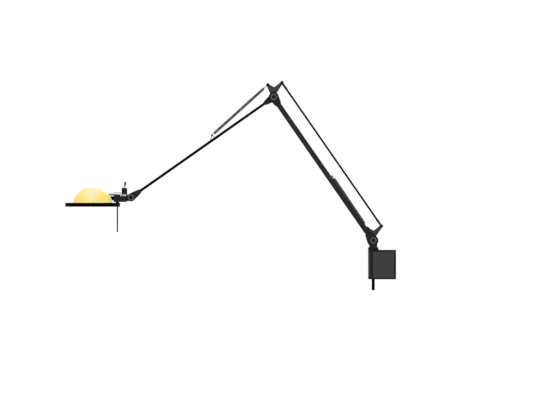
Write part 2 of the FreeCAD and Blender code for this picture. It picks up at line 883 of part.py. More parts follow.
def cheek(label, side, bulge, middle, at, turn):
    """A moulded cheek on one side of the lower arm: round at its pivot, with a socket for the bar."""
    low, high = side_faces(side, s.cheek_inner, s.cheek_outer)
    mouth = s.bar_width / 2 + s.cheek_rim
    shoulder_half = s.cheek_radius * cosine(s.cheek_shoulder)
    shoulder_up = s.cheek_radius * sine(s.cheek_shoulder)
    points = [
        (-(shoulder_half + bulge), shoulder_up),
        (shoulder_half, shoulder_up),
        (middle + mouth, s.cheek_reach),
        (middle - mouth, s.cheek_reach),
    ]
    solid = fuse(
        label + "_solid",
        slab(label + "_web", points, low, high),
        crosswise(label + "_disc", s.cheek_radius, 0, 0, low, high),
        crosswise(label + "_bulge", s.cheek_radius, -bulge, 0, low, high),
    )
    socket = bar_section(label + "_socket", side, middle, s.socket_start, s.cheek_reach)
    bore = crosswise(label + "_bore", s.bolt_radius, 0, 0, low, high)
    face = s.cheek_outer - s.slot_recess_depth
    sunk = side_faces(side, face, s.cheek_outer)
    ends = s.socket_start, s.socket_start + s.slot_recess_length
    recess = fuse(
        label + "_recess",
        block(
            label + "_recess_flat",
            (-s.slot_recess_half, sunk[0], ends[0]),
            (s.slot_recess_half, sunk[1], ends[1]),
        ),
        crosswise(label + "_recess_a", s.slot_recess_half, 0, ends[0], *sunk),
        crosswise(label + "_recess_b", s.slot_recess_half, 0, ends[1], *sunk),
    )
    part(label, cut(label + "_cut", solid, socket, bore, recess), at, turn)


def cheeks():
    for side, name in ((1, "left"), (-1, "right")):
        cheek(f"base_cheek_{name}", side, s.base_cheek_bulge, -s.bar_shift, BASE, LEAN)
        cheek(f"elbow_cheek_{name}", side, NONE, s.bar_shift, ELBOW, LEAN + 180)


def pivot_bolt(name, at, reach):
    """A bolt across a pivot: a dished round head on the right, with a hexagon socket."""
    tail = reach + s.nut_height + s.bolt_end
    head = crosswise(name + "_head", s.bolt_head_radius, 0, 0, -(reach + s.bolt_head), -reach)
    shank = crosswise(name + "_shank", s.bolt_radius, 0, 0, -reach, tail)
    top = reach + s.bolt_head
    dish = crosswise(name + "_dish", s.bolt_dish_radius, 0, 0, -top, s.bolt_dish - top)
    depth = s.bolt_head + s.bolt_dish
    key = new("Prism", name + "_key", Circumradius=s.hex_key / root(as_length(3)), Height=depth)
    put(key, 0, -top, 0, OUT, -90)
    return put(cut(name, fuse(name + "_solid", head, shank), dish, key), *at)


def pivot_nut(name, at, reach):
    nut = new("Prism", name + "_hexagon", Circumradius=s.nut_radius, Height=s.nut_height)
    put(nut, 0, reach, 0, OUT, -90)
    bore = crosswise(name + "_bore", s.bolt_radius, 0, 0, reach, reach + s.nut_height)
    return put(cut(name, nut, bore), *at)


def pivot_bolts():
    """The base's and the elbow's bolts are alike; the head's is shorter."""
    arm = [("base", BASE), ("elbow", ELBOW)]
    for kind, make in (("bolt", pivot_bolt), ("nut", pivot_nut)):
        pair = [make(f"{name}_{kind}", at, s.cheek_outer) for name, at in arm]
        part(f"arm_pivot_{kind}s", group(f"{kind}_pair", *pair))
        single = make(f"head_{kind}", (NONE, NONE, NONE), s.fork_outer)
        part(f"head_pivot_{kind}", group(f"head_{kind}_frame", single), HEAD)


def cross_block(name, along):
    """A block between the two bars, drilled for its rivets."""
    half = s.block_width / 2
    low, high = along - s.block_length / 2, along + s.block_length / 2
    return block(name, (-half, -s.bar_inner, low), (half, s.bar_inner, high))


def arm_blocks():
    ends = (-s.bar_inner, s.bar_inner)
    pin = (s.anchor_off, s.anchor_along)
    ear = s.hook_eye_half + s.side_gap + s.lug_ear
    lug = fuse(
        "anchor_lug",
        crosswise("lug_end", s.lug_radius, *pin, -ear, ear),
        block(
            "lug_web",
            (0, -ear, s.anchor_along - s.lug_radius),
            (s.anchor_off, ear, s.anchor_along + s.lug_radius),
        ),
        cross_block("anchor_block", s.anchor_along),
    )
    slot_radius = s.hook_eye_radius + s.lug_slot_gap
    slot = crosswise("lug_slot", slot_radius, *pin, *slot_faces(s.hook_eye_half))
    rivet_bore = crosswise("anchor_rivet_bore", s.rivet_radius, 0, s.anchor_along, *ends)
    lug_pin = crosswise("lug_pin", s.spring_pin_radius, *pin, -ear, ear)
    anchor = fuse("anchor_with_pin", cut("anchor_drilled", lug, slot, rivet_bore), lug_pin)
    part("spring_anchor", anchor, BASE, LEAN)
    bore = crosswise("spacer_rivet_bore", s.rivet_radius, 0, SPACER_ALONG, *ends)
    spacer = cut("spacer_drilled", cross_block("spacer_block", SPACER_ALONG), bore)
    part("bar_spacer", spacer, BASE, LEAN)
    outer = s.bar_inner + s.bar_thickness
    rivets = [
        crosswise(f"rivet_{i}", s.rivet_radius, 0, z, -outer, outer)
        for i, z in enumerate(rivet_places())
    ]
    part("bar_rivets", group("rivets", *rivets), BASE, LEAN)


# ------------------------------------------------------------------------------------ the tie rod


def tie_rod_end(name):
    """An end eye: flat round its pin, then a ferrule that holds the rod's end."""
    half = s.tie_eye_half
    eye = crosswise(name + "_eye", s.tie_eye_radius, 0, 0, -half, half)
    neck = block(name + "_neck", (-s.tie_neck_half, -half, 0), (s.tie_neck_half, half, s.ferrule_start))
    top = s.ferrule_start + s.ferrule_length
    ferrule = upright(name + "_ferrule", s.ferrule_radius, 0, 0, s.ferrule_start, top)
    bore = crosswise(name + "_bore", s.tie_pin_radius + s.running_gap, 0, 0, -half, half)
    seat = upright(name + "_seat", s.tie_rod_radius, 0, 0, s.tie_rod_start, top)
    return cut(name, fuse(name + "_solid", eye, neck, ferrule), bore, seat)


def tie_rod():
    end = s.lower_arm_length - s.tie_rod_start
    rod = upright("tie_rod_bar", s.tie_rod_radius, 0, 0, s.tie_rod_start, end)
    part("tie_rod", group("tie_rod_solid", rod), BASE_TIE, LEAN)
    near = tie_rod_end("tie_end_base")
    far = put(tie_rod_end("tie_end_elbow"), 0, 0, s.lower_arm_length, ACROSS, 180)
    part("tie_rod_ends", group("tie_ends", near, far), BASE_TIE, LEAN)


# ---------------------------------------------------------------------------------- the outer arm


def fork(label, at, turn):
    """A fork at an end of the outer arm: two cheeks, a bridge, and a collar round the tube."""
    radius, solids = s.fork_radius, []
    for side, name in ((1, "left"), (-1, "right")):
        faces = side_faces(side, s.fork_inner, s.fork_outer)
        points = [
            (-radius, 0),
            (radius, 0),
            (s.fork_bridge_half, s.fork_bridge),
            (s.fork_collar_radius, s.fork_neck),
            (-s.fork_collar_radius, s.fork_neck),
            (-s.fork_bridge_half, s.fork_bridge),
        ]
        solids.append(slab(f"{label}_cheek_{name}", points, *faces))
        solids.append(crosswise(f"{label}_disc_{name}", radius, 0, 0, *faces))
    half = s.fork_outer
    low = (-s.fork_collar_radius, -half, s.fork_bridge)
    solids.append(block(label + "_bridge", low, (s.fork_collar_radius, half, s.fork_neck)))
    flare = s.fork_neck - s.fork_flare
    solids.append(cone(label + "_neck", half, s.fork_tip_radius, 0, 0, flare, s.fork_reach))
    trim = fuse(
        label + "_trim_solid",
        block(label + "_trim", (-2 * radius, -half, -2 * radius), (2 * radius, half, s.fork_neck)),
        upright(label + "_trim_round", half, 0, 0, s.fork_neck, s.fork_reach),
    )
    bore = crosswise(label + "_bore", s.bolt_radius + fork_bore_gap(label), 0, 0, -half, half)
    seat = upright(label + "_seat", s.tube_radius, 0, 0, s.tube_seat, s.fork_reach)
    body = common(label + "_trimmed", fuse(label + "_solid", *solids), trim)
    part(label, cut(label + "_cut", body, bore, seat), at, turn)


def fork_bore_gap(label):
    """The elbow bolt turns in the elbow fork; the head bolt is held by the head fork."""
    return s.running_gap if label == "elbow_fork" else NONE


def outer_arm():
    low, high = s.tube_seat, s.outer_arm_length - s.tube_seat
    tube = cut(
        "outer_tube",
        upright("tube_outside", s.tube_radius, 0, 0, low, high),
        upright("tube_inside", s.tube_radius - s.tube_wall, 0, 0, low, high),
    )
    part("outer_arm_tube", tube, ELBOW, DROP)
    fork("elbow_fork", ELBOW, DROP)
    fork("head_fork", HEAD, DROP + 180)


def leg(name, y, start, end):
    """A straight wire along the arm's side between two points, with a round end at its start."""
    run = (end[0] - start[0], end[1] - start[1])
    length = root(run[0] * run[0] + run[1] * run[1])
    wire = new("Cylinder", name, Radius=s.loop_wire_radius, Height=length)
    put(wire, start[0], y, start[1], ACROSS, heading(run[0], run[1]))
    ball = put(new("Sphere", name + "_end", Radius=s.loop_wire_radius), start[0], y, start[1])
    return [wire, ball]


def spring_loop():
    """The bent wire on the outer arm that holds the spring: up one side of the tube, across as the
    spring's pin, and down the other side."""
    apex = (s.loop_off, s.loop_along)
    side = s.hook_eye_half + s.side_gap + s.loop_wire_radius
    solid = fuse(
        "loop_solid",
        *leg("loop_near", -side, apex, (NONE, s.loop_foot_near)),
        *leg("loop_far", side, apex, (NONE, s.loop_foot_far)),
        crosswise("loop_pin", s.spring_pin_radius, *apex, -side, side),
    )
    low, high = s.loop_foot_near - s.loop_off, s.loop_foot_far + s.loop_off
    tube = upright("loop_tube", s.tube_radius, 0, 0, low, high)
    part("spring_loop", cut("loop_cut", solid, tube), ELBOW, DROP)


# ------------------------------------------------------------------------------------ the springs


def arc(start, direction, end):
    """The arc from start, leaving along direction, to end; and the direction it arrives in."""
    chord = end - start
    across = direction - chord * (direction.dot(chord) / chord.dot(chord))
    if across.Length < 1e-9:
        return Part.LineSegment(start, end), direction
    half_turn = direction.getAngle(chord)
    rise = chord.Length / 2 * math.tan(half_turn / 2)
    middle = start + chord * 0.5 + across.normalize() * rise
    arrives = chord * (2 * direction.dot(chord) / chord.dot(chord)) - direction
    return Part.Arc(start, middle, end), arrives.normalize()


def biarc(start, leaves, end, arrives):
    """Two arcs from start to end that meet smoothly, with the directions given at the ends."""
    gap = end - start
    both = leaves + arrives
    spread = 2 * (1 - leaves.dot(arrives))
    along = gap.dot(both)
    reach = (math.sqrt(along * along + spread * gap.dot(gap)) - along) / spread
    joint = (start + end + (leaves - arrives) * reach) * 0.5
    first, passing = arc(start, leaves, joint)
    second, _ = arc(joint, passing, end)
    return [first, second]


def coil(label, radius, turns, low, high):
    """A tension spring along +Z: one unbroken wire on a helix, its ends straight for one diameter."""
    wire_radius = s.spring_wire_radius.number
    pitch = (high - low) / turns
    slope = pitch / (2 * math.pi * radius)
    unit = 1 / math.hypot(1, slope)

    def at(turn):
        angle = 2 * math.pi * turn
        point = FreeCAD.Vector(radius * math.cos(angle), radius * math.sin(angle), low + pitch * turn)
        run = FreeCAD.Vector(-math.sin(angle), math.cos(angle), slope) * unit
        return point, run

    first, leaves = at(0)
    last, arrives = at(turns)
    start = first - leaves * (2 * wire_radius)
    end = last + arrives * (2 * wire_radius)
    curves = [Part.LineSegment(start, first)]
    for step in range(2 * turns):
        (a, run_a), (b, run_b) = at(step / 2), at(step / 2 + 0.5)
        curves += biarc(a, run_a, b, run_b)
    curves.append(Part.LineSegment(last, end))
    path = Part.Wire([curve.toShape() for curve in curves])
    section = Part.Wire([Part.Circle(start, leaves, wire_radius).toShape()])
    shape = path.makePipeShell([section], True, False)
    expected = math.pi * wire_radius**2 * path.Length
    gap = least_self_gap(radius, pitch, wire_radius)
    print(f"{label}: {turns} turns, volume {shape.Volume:.1f} of {expected:.1f}, self-gap {gap:.2f}")
    spring = doc.addObject("Part::Feature", label)
    spring.Shape = shape
    return spring


def least_self_gap(radius, pitch, wire_radius):
    """The least distance between the wire's surface and itself, more than half a turn on."""
    steps = 360
    points = [
        (
            radius * math.cos(2 * math.pi * i / steps),
            radius * math.sin(2 * math.pi * i / steps),
            pitch * i / steps,
        )
        for i in range(steps // 2, 2 * steps)
    ]
    return min(math.dist((radius, 0, 0), point) for point in points) - 2 * wire_radius


def spring_plug(name, coil_radius, eye_at, low, high):
    """An eye that hangs on a pin, and a round plug that the coil's end is wound on."""
    half = s.hook_eye_half
    eye = crosswise(name + "_eye", s.hook_eye_radius, 0, eye_at, -half, half)
    plug_radius = coil_radius - s.spring_wire_radius - s.plug_gap
    plug = upright(name + "_plug", plug_radius, 0, 0, low, high)
    bore_radius = s.spring_pin_radius + s.running_gap
    return [eye, plug], crosswise(name + "_bore", bore_radius, 0, eye_at, -half, half)


def spring_set(label, pin, coil_radius, turns, anchor_at, anchor_turn, anchor):
    """A spring between a yoke's pin and its anchor on an arm: the coil with its end plug, and the
    hook rod. All three are drawn from the yoke's pin, along +Z towards the anchor."""
    turned = anchor_turn
    away_x = anchor_at[0] + anchor[0] * cosine(turned) + anchor[1] * sine(turned) - pin[0]
    away_z = anchor_at[2] - anchor[0] * sine(turned) + anchor[1] * cosine(turned) - pin[2]
    reach = root(away_x * away_x + away_z * away_z)
    turn = heading(away_x, away_z)
    low, high = s.coil_start, reach - s.coil_foot
    body = coil(label, coil_radius.number, int(turns.number), low.number, high.number)
    part(label, body, pin, turn)
    near = low + s.plug_length
    solids, bore = spring_plug(label + "_rod_end", coil_radius, NONE, low, near)
    rod = upright(label + "_rod_wire", s.hook_rod_radius, 0, 0, 0, s.hook_rod_length)
    hook = fuse(label + "_rod_solid", *solids, rod)
    part(label + "_hook_rod", cut(label + "_rod", hook, bore), pin, turn)
    far = high - s.plug_length
    solids, bore = spring_plug(label + "_foot", coil_radius, reach, far, high)
    stem = upright(label + "_foot_stem", s.hook_rod_radius, 0, 0, far, reach)
    plug = fuse(label + "_foot_solid", *solids, stem)
    part(label + "_plug", cut(label + "_plug_cut", plug, bore), pin, turn)
    print(f"{label}: pin to anchor {reach.number:.2f} mm, heading {turn.number:.3f} degrees")


def springs():
    spring_set(
        "lower_spring",
        BASE_SPRING,
        s.lower_coil_radius,
        s.lower_coil_turns,
        BASE,
        LEAN,
        (s.anchor_off, s.anchor_along),
    )
    spring_set(
        "outer_spring",
        ELBOW_SPRING,
        s.outer_coil_radius,
        s.outer_coil_turns,
        ELBOW,
        DROP,
        (s.loop_off, s.loop_along),
    )


# --------------------------------------------------------------------------------------- the head

DISC_TOP = -(s.head_bracket_bottom + s.disc_gap)
DISC_LOW = DISC_TOP - s.disc_thickness
RECESS_TOP = DISC_LOW + s.disc_recess
DOME_MIDDLE = DISC_TOP + s.dome_height - s.dome_radius
HOLDER_UP = s.head_bracket_top + s.holder_radius
HOLDER_END = -(s.holder_start + s.holder_length)
NOSE_END = HOLDER_END - s.holder_nose_length
GLASS_LOW = DISC_LOW + 2 * s.retainer_radius
GLASS_TOP = GLASS_LOW + s.lower_glass_thickness


def head_bracket():
    half = s.head_bracket_half
    top, low = s.head_bracket_top, -s.head_bracket_bottom
    start, end = -s.head_bracket_start, -s.head_bracket_end
    round_ = s.head_bracket_round
    shell = slab(
        "head_shell",
        [(start, top), (start, low), (end + round_, low), (end, low + round_), (end, top)],
        -half,
        half,
    )
    wall = s.head_bracket_wall
    inside = block(
        "head_cavity",
        (end + wall, wall - half, low + wall),
        (start - wall, half - wall, top - wall),
    )
    eye_half = s.yoke_half
    eye = crosswise("head_eye", s.eye_radius, 0, 0, -eye_half, eye_half)
    neck = block("head_neck", (start, -eye_half, -s.eye_radius), (0, eye_half, top))
    bolt = crosswise("head_bolt_bore", s.bolt_radius + s.running_gap, 0, 0, -eye_half, eye_half)
    stud = upright("head_stud_bore", s.handle_radius, -s.handle_out, 0, low, low + wall)
    solid = fuse("head_solid", cut("head_hollow", shell, inside), eye, neck)
    part("head_bracket", cut("head_bracket_cut", solid, bolt, stud), HEAD)


def head_leads():
    """Two leads that lie on the floor of the bracket, from the pivot's side to the lamp holder."""
    wall = s.head_bracket_wall
    floor = s.head_lead_radius - s.head_bracket_bottom + wall
    low, high = wall - s.head_bracket_end, -(s.head_bracket_start + wall)
    y = s.head_bracket_half - wall - s.head_lead_radius
    leads = [
        outward(f"head_lead_{i}", s.head_lead_radius, y * side, floor, low, high)
        for i, side in enumerate((-1, 1))
    ]
    part("head_leads", group("head_lead_pair", *leads), HEAD)


def disc():
    x = -s.disc_out
    blank = upright("disc_blank", s.disc_radius, x, 0, DISC_LOW, DISC_TOP)
    doc.recompute()
    rounded = doc.addObject("Part::Fillet", "disc_rounded")
    rounded.Base = blank
    rim = numbers_of_edges(blank.Shape, lambda e: isinstance(e.Curve, Part.Circle))
    rounded.Edges = [(i, s.disc_edge_radius.number, s.disc_edge_radius.number) for i in rim]
    groove_out = root(s.dome_radius * s.dome_radius - (DISC_TOP - DOME_MIDDLE) * (DISC_TOP - DOME_MIDDLE))
    groove_low = DISC_TOP - s.dome_groove
    groove = cut(
        "disc_groove",
        upright("groove_out", groove_out + s.side_gap + s.seat_gap, x, 0, groove_low, DISC_TOP),
        upright("groove_in", groove_out - s.dome_wall - s.side_gap, x, 0, groove_low, DISC_TOP),
    )
    part(
        "shade_disc",
        cut(
            "disc_cut",
            rounded,
            groove,
            upright("disc_aperture", s.disc_aperture_radius, x, 0, DISC_LOW, DISC_TOP),
            upright("disc_recess", s.disc_recess_radius, x, 0, DISC_LOW, RECESS_TOP),
            upright("disc_handle_hole", s.handle_radius, -s.handle_out, 0, DISC_LOW, DISC_TOP),
        ),
        HEAD,
    )


def below_the_disc():
    """The reflector, the lower glass and the ring that holds it, in the disc's recess."""
    x = -s.disc_out
    out = s.disc_recess_radius - s.seat_gap
    inner = s.disc_aperture_radius + s.reflector_sheet
    reflector = cut(
        "reflector_cut",
        cone("reflector_out", out, inner, x, 0, GLASS_TOP, RECESS_TOP),
        cone(
            "reflector_in",
            out - s.reflector_sheet,
            inner - s.reflector_sheet,
            x,
            0,
            GLASS_TOP,
            RECESS_TOP,
        ),
    )
    part("reflector", reflector, HEAD)
    glass = upright("glass_blank", out, x, 0, GLASS_LOW, GLASS_TOP)
    part("lower_glass", group("glass_solid", glass), HEAD)
    ring = new("Torus", "retainer_ring", Radius1=out - s.retainer_radius, Radius2=s.retainer_radius)
    put(ring, x, 0, DISC_LOW + s.retainer_radius)
    part("glass_retainer", group("retainer_solid", ring), HEAD)


def dome():
    """A part of a hollow ball of glass, standing in the disc's groove, pierced for the holder."""
    x = -s.disc_out
    low = DISC_TOP - s.dome_groove
    ball = put(new("Sphere", "dome_outside", Radius=s.dome_radius), x, 0, DOME_MIDDLE)
    hollow = put(new("Sphere", "dome_inside", Radius=s.dome_radius - s.dome_wall), x, 0, DOME_MIDDLE)
    wide = 2 * s.dome_radius
    below = block("dome_below", (x - wide, -wide, low - wide), (x + wide, wide, low))
    hole = outward("dome_hole", s.dome_hole_radius, 0, HOLDER_UP, x, 0)
    part("glass_dome", cut("dome_cut", ball, hollow, below, hole), HEAD)


def dome_clip():
    """A wedge on the bracket's front that reaches to the dome's flank and holds it down."""
    top = s.head_bracket_top
    lift = top - DOME_MIDDLE
    touch = -s.disc_out + root(s.dome_radius * s.dome_radius - lift * lift) + 2 * s.side_gap
    points = [
        (-s.head_bracket_end, top),
        (-s.head_bracket_end, top - s.clip_drop),
        (touch + s.clip_tip_slant, top - s.clip_tip),
        (touch, top),
    ]
    part("dome_clip", group("clip_solid", slab("clip_wedge", points, -s.clip_half, s.clip_half)), HEAD)


def handle():
    x = -s.handle_out
    top = -s.head_bracket_bottom + s.handle_grip
    low = DISC_LOW - s.handle_length
    rod = upright("handle_bar", s.handle_radius, x, 0, low, top)
    tip = put(new("Sphere", "handle_tip", Radius=s.handle_radius), x, 0, low)
    part("handle_rod", fuse("handle_solid", rod, tip), HEAD)
    spacer = cut(
        "spacer_ring",
        upright("spacer_blank", s.spacer_radius, x, 0, DISC_TOP, -s.head_bracket_bottom),
        upright("spacer_bore", s.handle_radius, x, 0, DISC_TOP, -s.head_bracket_bottom),
    )
    part("disc_spacer", spacer, HEAD)


def lamp_holder():
    body = outward("holder_body", s.holder_radius, 0, HOLDER_UP, HOLDER_END, -s.holder_start)
    nose = outward("holder_nose", s.holder_nose_radius, 0, HOLDER_UP, NOSE_END, HOLDER_END)
    pins = [
        outward(f"holder_pin_bore_{i}", s.bulb_pin_radius, y, HOLDER_UP, NOSE_END, pin_end())
        for i, y in enumerate(pin_places())
    ]
    part("lamp_holder", cut("holder_cut", fuse("holder_solid", body, nose), *pins), HEAD)


def pin_places():
    return [s.bulb_pin_spread * side / 2 for side in (-1, 1)]


def pin_end():
    return NOSE_END + s.bulb_pin_length


def bulb():
    """A halogen capsule: two pins, a flat pinch and a round envelope."""
    pinch_end = NOSE_END - s.bulb_pinch
    wide = s.bulb_pin_spread
    thin = s.bulb_pinch_half
    pinch = block(
        "bulb_pinch",
        (pinch_end, -wide, HOLDER_UP - thin),
        (NOSE_END, wide, HOLDER_UP + thin),
    )
    envelope_end = pinch_end - s.bulb_length
    envelope = outward("bulb_envelope", s.bulb_radius, 0, HOLDER_UP, envelope_end, pinch_end)
    nose = put(new("Sphere", "bulb_nose", Radius=s.bulb_radius), envelope_end, 0, HOLDER_UP)
    pins = [
        outward(f"bulb_pin_{i}", s.bulb_pin_radius, y, HOLDER_UP, NOSE_END, pin_end())
        for i, y in enumerate(pin_places())
    ]
    part("halogen_bulb", fuse("bulb_solid", pinch, envelope, nose, *pins), HEAD)


# ------------------------------------------------------------------------------------- the switch

NUT_TOP = s.head_bracket_top + s.switch_nut_height
SWITCH_TOP = NUT_TOP + s.switch_height
BUSHING_TOP = SWITCH_TOP + s.bushing_height
LEVER_PIVOT = (HEAD[0] - s.switch_out, NONE, HEAD[2] + SWITCH_TOP + s.lever_hub_radius)


def switch():
    x = -s.switch_out
    nut = upright("nut_blank", s.switch_nut_radius, x, 0, s.head_bracket_top, NUT_TOP)
    part("switch_nut", group("nut_solid", nut), HEAD)
    body = upright("switch_barrel", s.switch_radius, x, 0, NUT_TOP, SWITCH_TOP)
    count = int(s.switch_grooves.number)
    step = s.switch_height / (2 * count + 1)
    grooves = []
    for i in range(count):
        low = NUT_TOP + step * (2 * i + 1)
        ring = upright(f"groove_ring_{i}", s.switch_radius, x, 0, low, low + step)
        core = upright(
            f"groove_core_{i}", s.switch_radius - s.switch_groove, x, 0, low, low + step
        )
        grooves.append(cut(f"switch_groove_{i}", ring, core))
    part("switch_body", cut("switch_cut", body, *grooves), HEAD)
    shell = cone(
        "bushing_shell", s.bushing_radius, s.bushing_top_radius, x, 0, SWITCH_TOP, BUSHING_TOP
    )
    bore = upright("bushing_bore", s.bushing_bore_radius, x, 0, SWITCH_TOP, BUSHING_TOP)
    part("switch_bushing", cut("bushing_cut", shell, bore), HEAD)


def switch_lever():
    """A lever with a thick grip and a round tip, on a round hub that rocks inside the bushing."""
    half, start, end = s.lever_hub_half, s.lever_grip_start, s.lever_length
    hub = crosswise("lever_hub", s.lever_hub_radius, 0, 0, -half, half)
    stem = upright("lever_stem", s.lever_root_radius, 0, 0, 0, start)
    grip = cone("lever_grip", s.lever_grip_radius, s.lever_tip_radius, 0, 0, start, end)
    tip = put(new("Sphere", "lever_tip", Radius=s.lever_tip_radius), 0, 0, end)
    part("switch_lever", fuse("lever_solid", hub, stem, grip, tip), LEVER_PIVOT, s.lever_lean)


# ----------------------------------------------------------------------------- build, check, write


def build():
    wall_plate()
    cover()
    spindle_bracket()
    spindle_bushes()
    transformer()
    terminal_block()
    internal_leads()
    contact_springs()
    cover_screws()
    spindle()
    spindle_fittings()
    base_yoke()
    lower_arm_bars()
    cheeks()
    pivot_bolts()
    arm_blocks()
    tie_rod()
    elbow_yoke()
    outer_arm()
    spring_loop()
    springs()
    head_bracket()
    head_leads()
    disc()
    below_the_disc()
    dome()
    dome_clip()
    handle()
    lamp_holder()
    bulb()
    switch()
    switch_lever()
    doc.recompute()


def check():
    for thing in doc.Objects:
        if "Invalid" in thing.State or "Error" in thing.State:
            raise RuntimeError(f"{thing.Label} could not be made: {thing.State}")
    for piece in PARTS:
        shape = piece.Shape
        if shape.isNull() or not shape.isValid() or not shape.Solids or shape.Volume <= 0:
            raise RuntimeError(f"{piece.Label} is not a valid solid")


def write():
    os.makedirs("parts", exist_ok=True)
    for piece in PARTS:
        piece.Shape.exportStep(f"parts/{piece.Label}.step")
    print(f"{len(PARTS)} sub-parts, {sum(len(piece.Shape.Solids) for piece in PARTS)} solids")


build()
check()
write()
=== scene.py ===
"""The looks of an articulating wall lamp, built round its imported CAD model."""

import json
import math

import bpy
from mathutils import Matrix, Vector

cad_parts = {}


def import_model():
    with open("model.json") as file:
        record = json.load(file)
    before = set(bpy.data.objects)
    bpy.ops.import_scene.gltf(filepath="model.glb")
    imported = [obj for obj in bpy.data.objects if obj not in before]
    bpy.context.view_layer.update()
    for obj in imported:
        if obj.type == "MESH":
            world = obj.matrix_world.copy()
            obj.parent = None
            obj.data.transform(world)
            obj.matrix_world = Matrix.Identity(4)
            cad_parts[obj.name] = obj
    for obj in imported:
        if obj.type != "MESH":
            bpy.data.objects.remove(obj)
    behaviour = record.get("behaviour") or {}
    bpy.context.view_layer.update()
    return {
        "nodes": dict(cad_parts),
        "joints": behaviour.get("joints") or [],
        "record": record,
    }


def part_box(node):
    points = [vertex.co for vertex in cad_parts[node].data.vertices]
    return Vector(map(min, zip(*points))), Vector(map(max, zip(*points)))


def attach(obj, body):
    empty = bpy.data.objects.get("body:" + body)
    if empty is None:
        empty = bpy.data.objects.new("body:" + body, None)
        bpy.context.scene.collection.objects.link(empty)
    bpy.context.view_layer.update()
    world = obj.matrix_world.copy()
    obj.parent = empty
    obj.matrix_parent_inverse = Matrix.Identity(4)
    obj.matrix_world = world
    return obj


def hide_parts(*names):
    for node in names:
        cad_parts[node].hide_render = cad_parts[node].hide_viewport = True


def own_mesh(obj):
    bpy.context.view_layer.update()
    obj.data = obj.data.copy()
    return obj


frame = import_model()
scene = bpy.context.scene
JOINTS = {joint["name"]: joint for joint in frame["joints"]}

# The photograph's frame, in its own pixels, and the real size of one pixel on the lamp
PHOTO_WIDTH, PHOTO_HEIGHT = 535, 402
METRES_PER_PIXEL = 0.002579
WALL_PIXEL_X, BOX_MIDDLE_PIXEL_Y = 395.7, 264.5


def pivot(joint):
    """Where a joint's axis lies at rest."""
    return Vector(JOINTS[joint]["pos_m"])


def linear(*shades):
    """sRGB shades, 0 to 255, as linear colour."""
    values = [shade / 255 for shade in shades]
    curve = [v / 12.92 if v <= 0.04045 else ((v + 0.055) / 1.055) ** 2.4 for v in values]
    return tuple(curve) + (1.0,)


# ------------------------------------------------------------------------------------ materials


def seen_by_eye(tree):
    """1 for rays from the camera, in gloss or through glass, in a material's or the world's nodes."""
    path = tree.nodes.new("ShaderNodeLightPath")
    seen = path.outputs["Is Camera Ray"]
    for kind in ("Is Glossy Ray", "Is Transmission Ray"):
        either = tree.nodes.new("ShaderNodeMath")
        either.operation = "MAXIMUM"
        tree.links.new(seen, either.inputs[0])
        tree.links.new(path.outputs[kind], either.inputs[1])
        seen = either.outputs[0]
    return seen


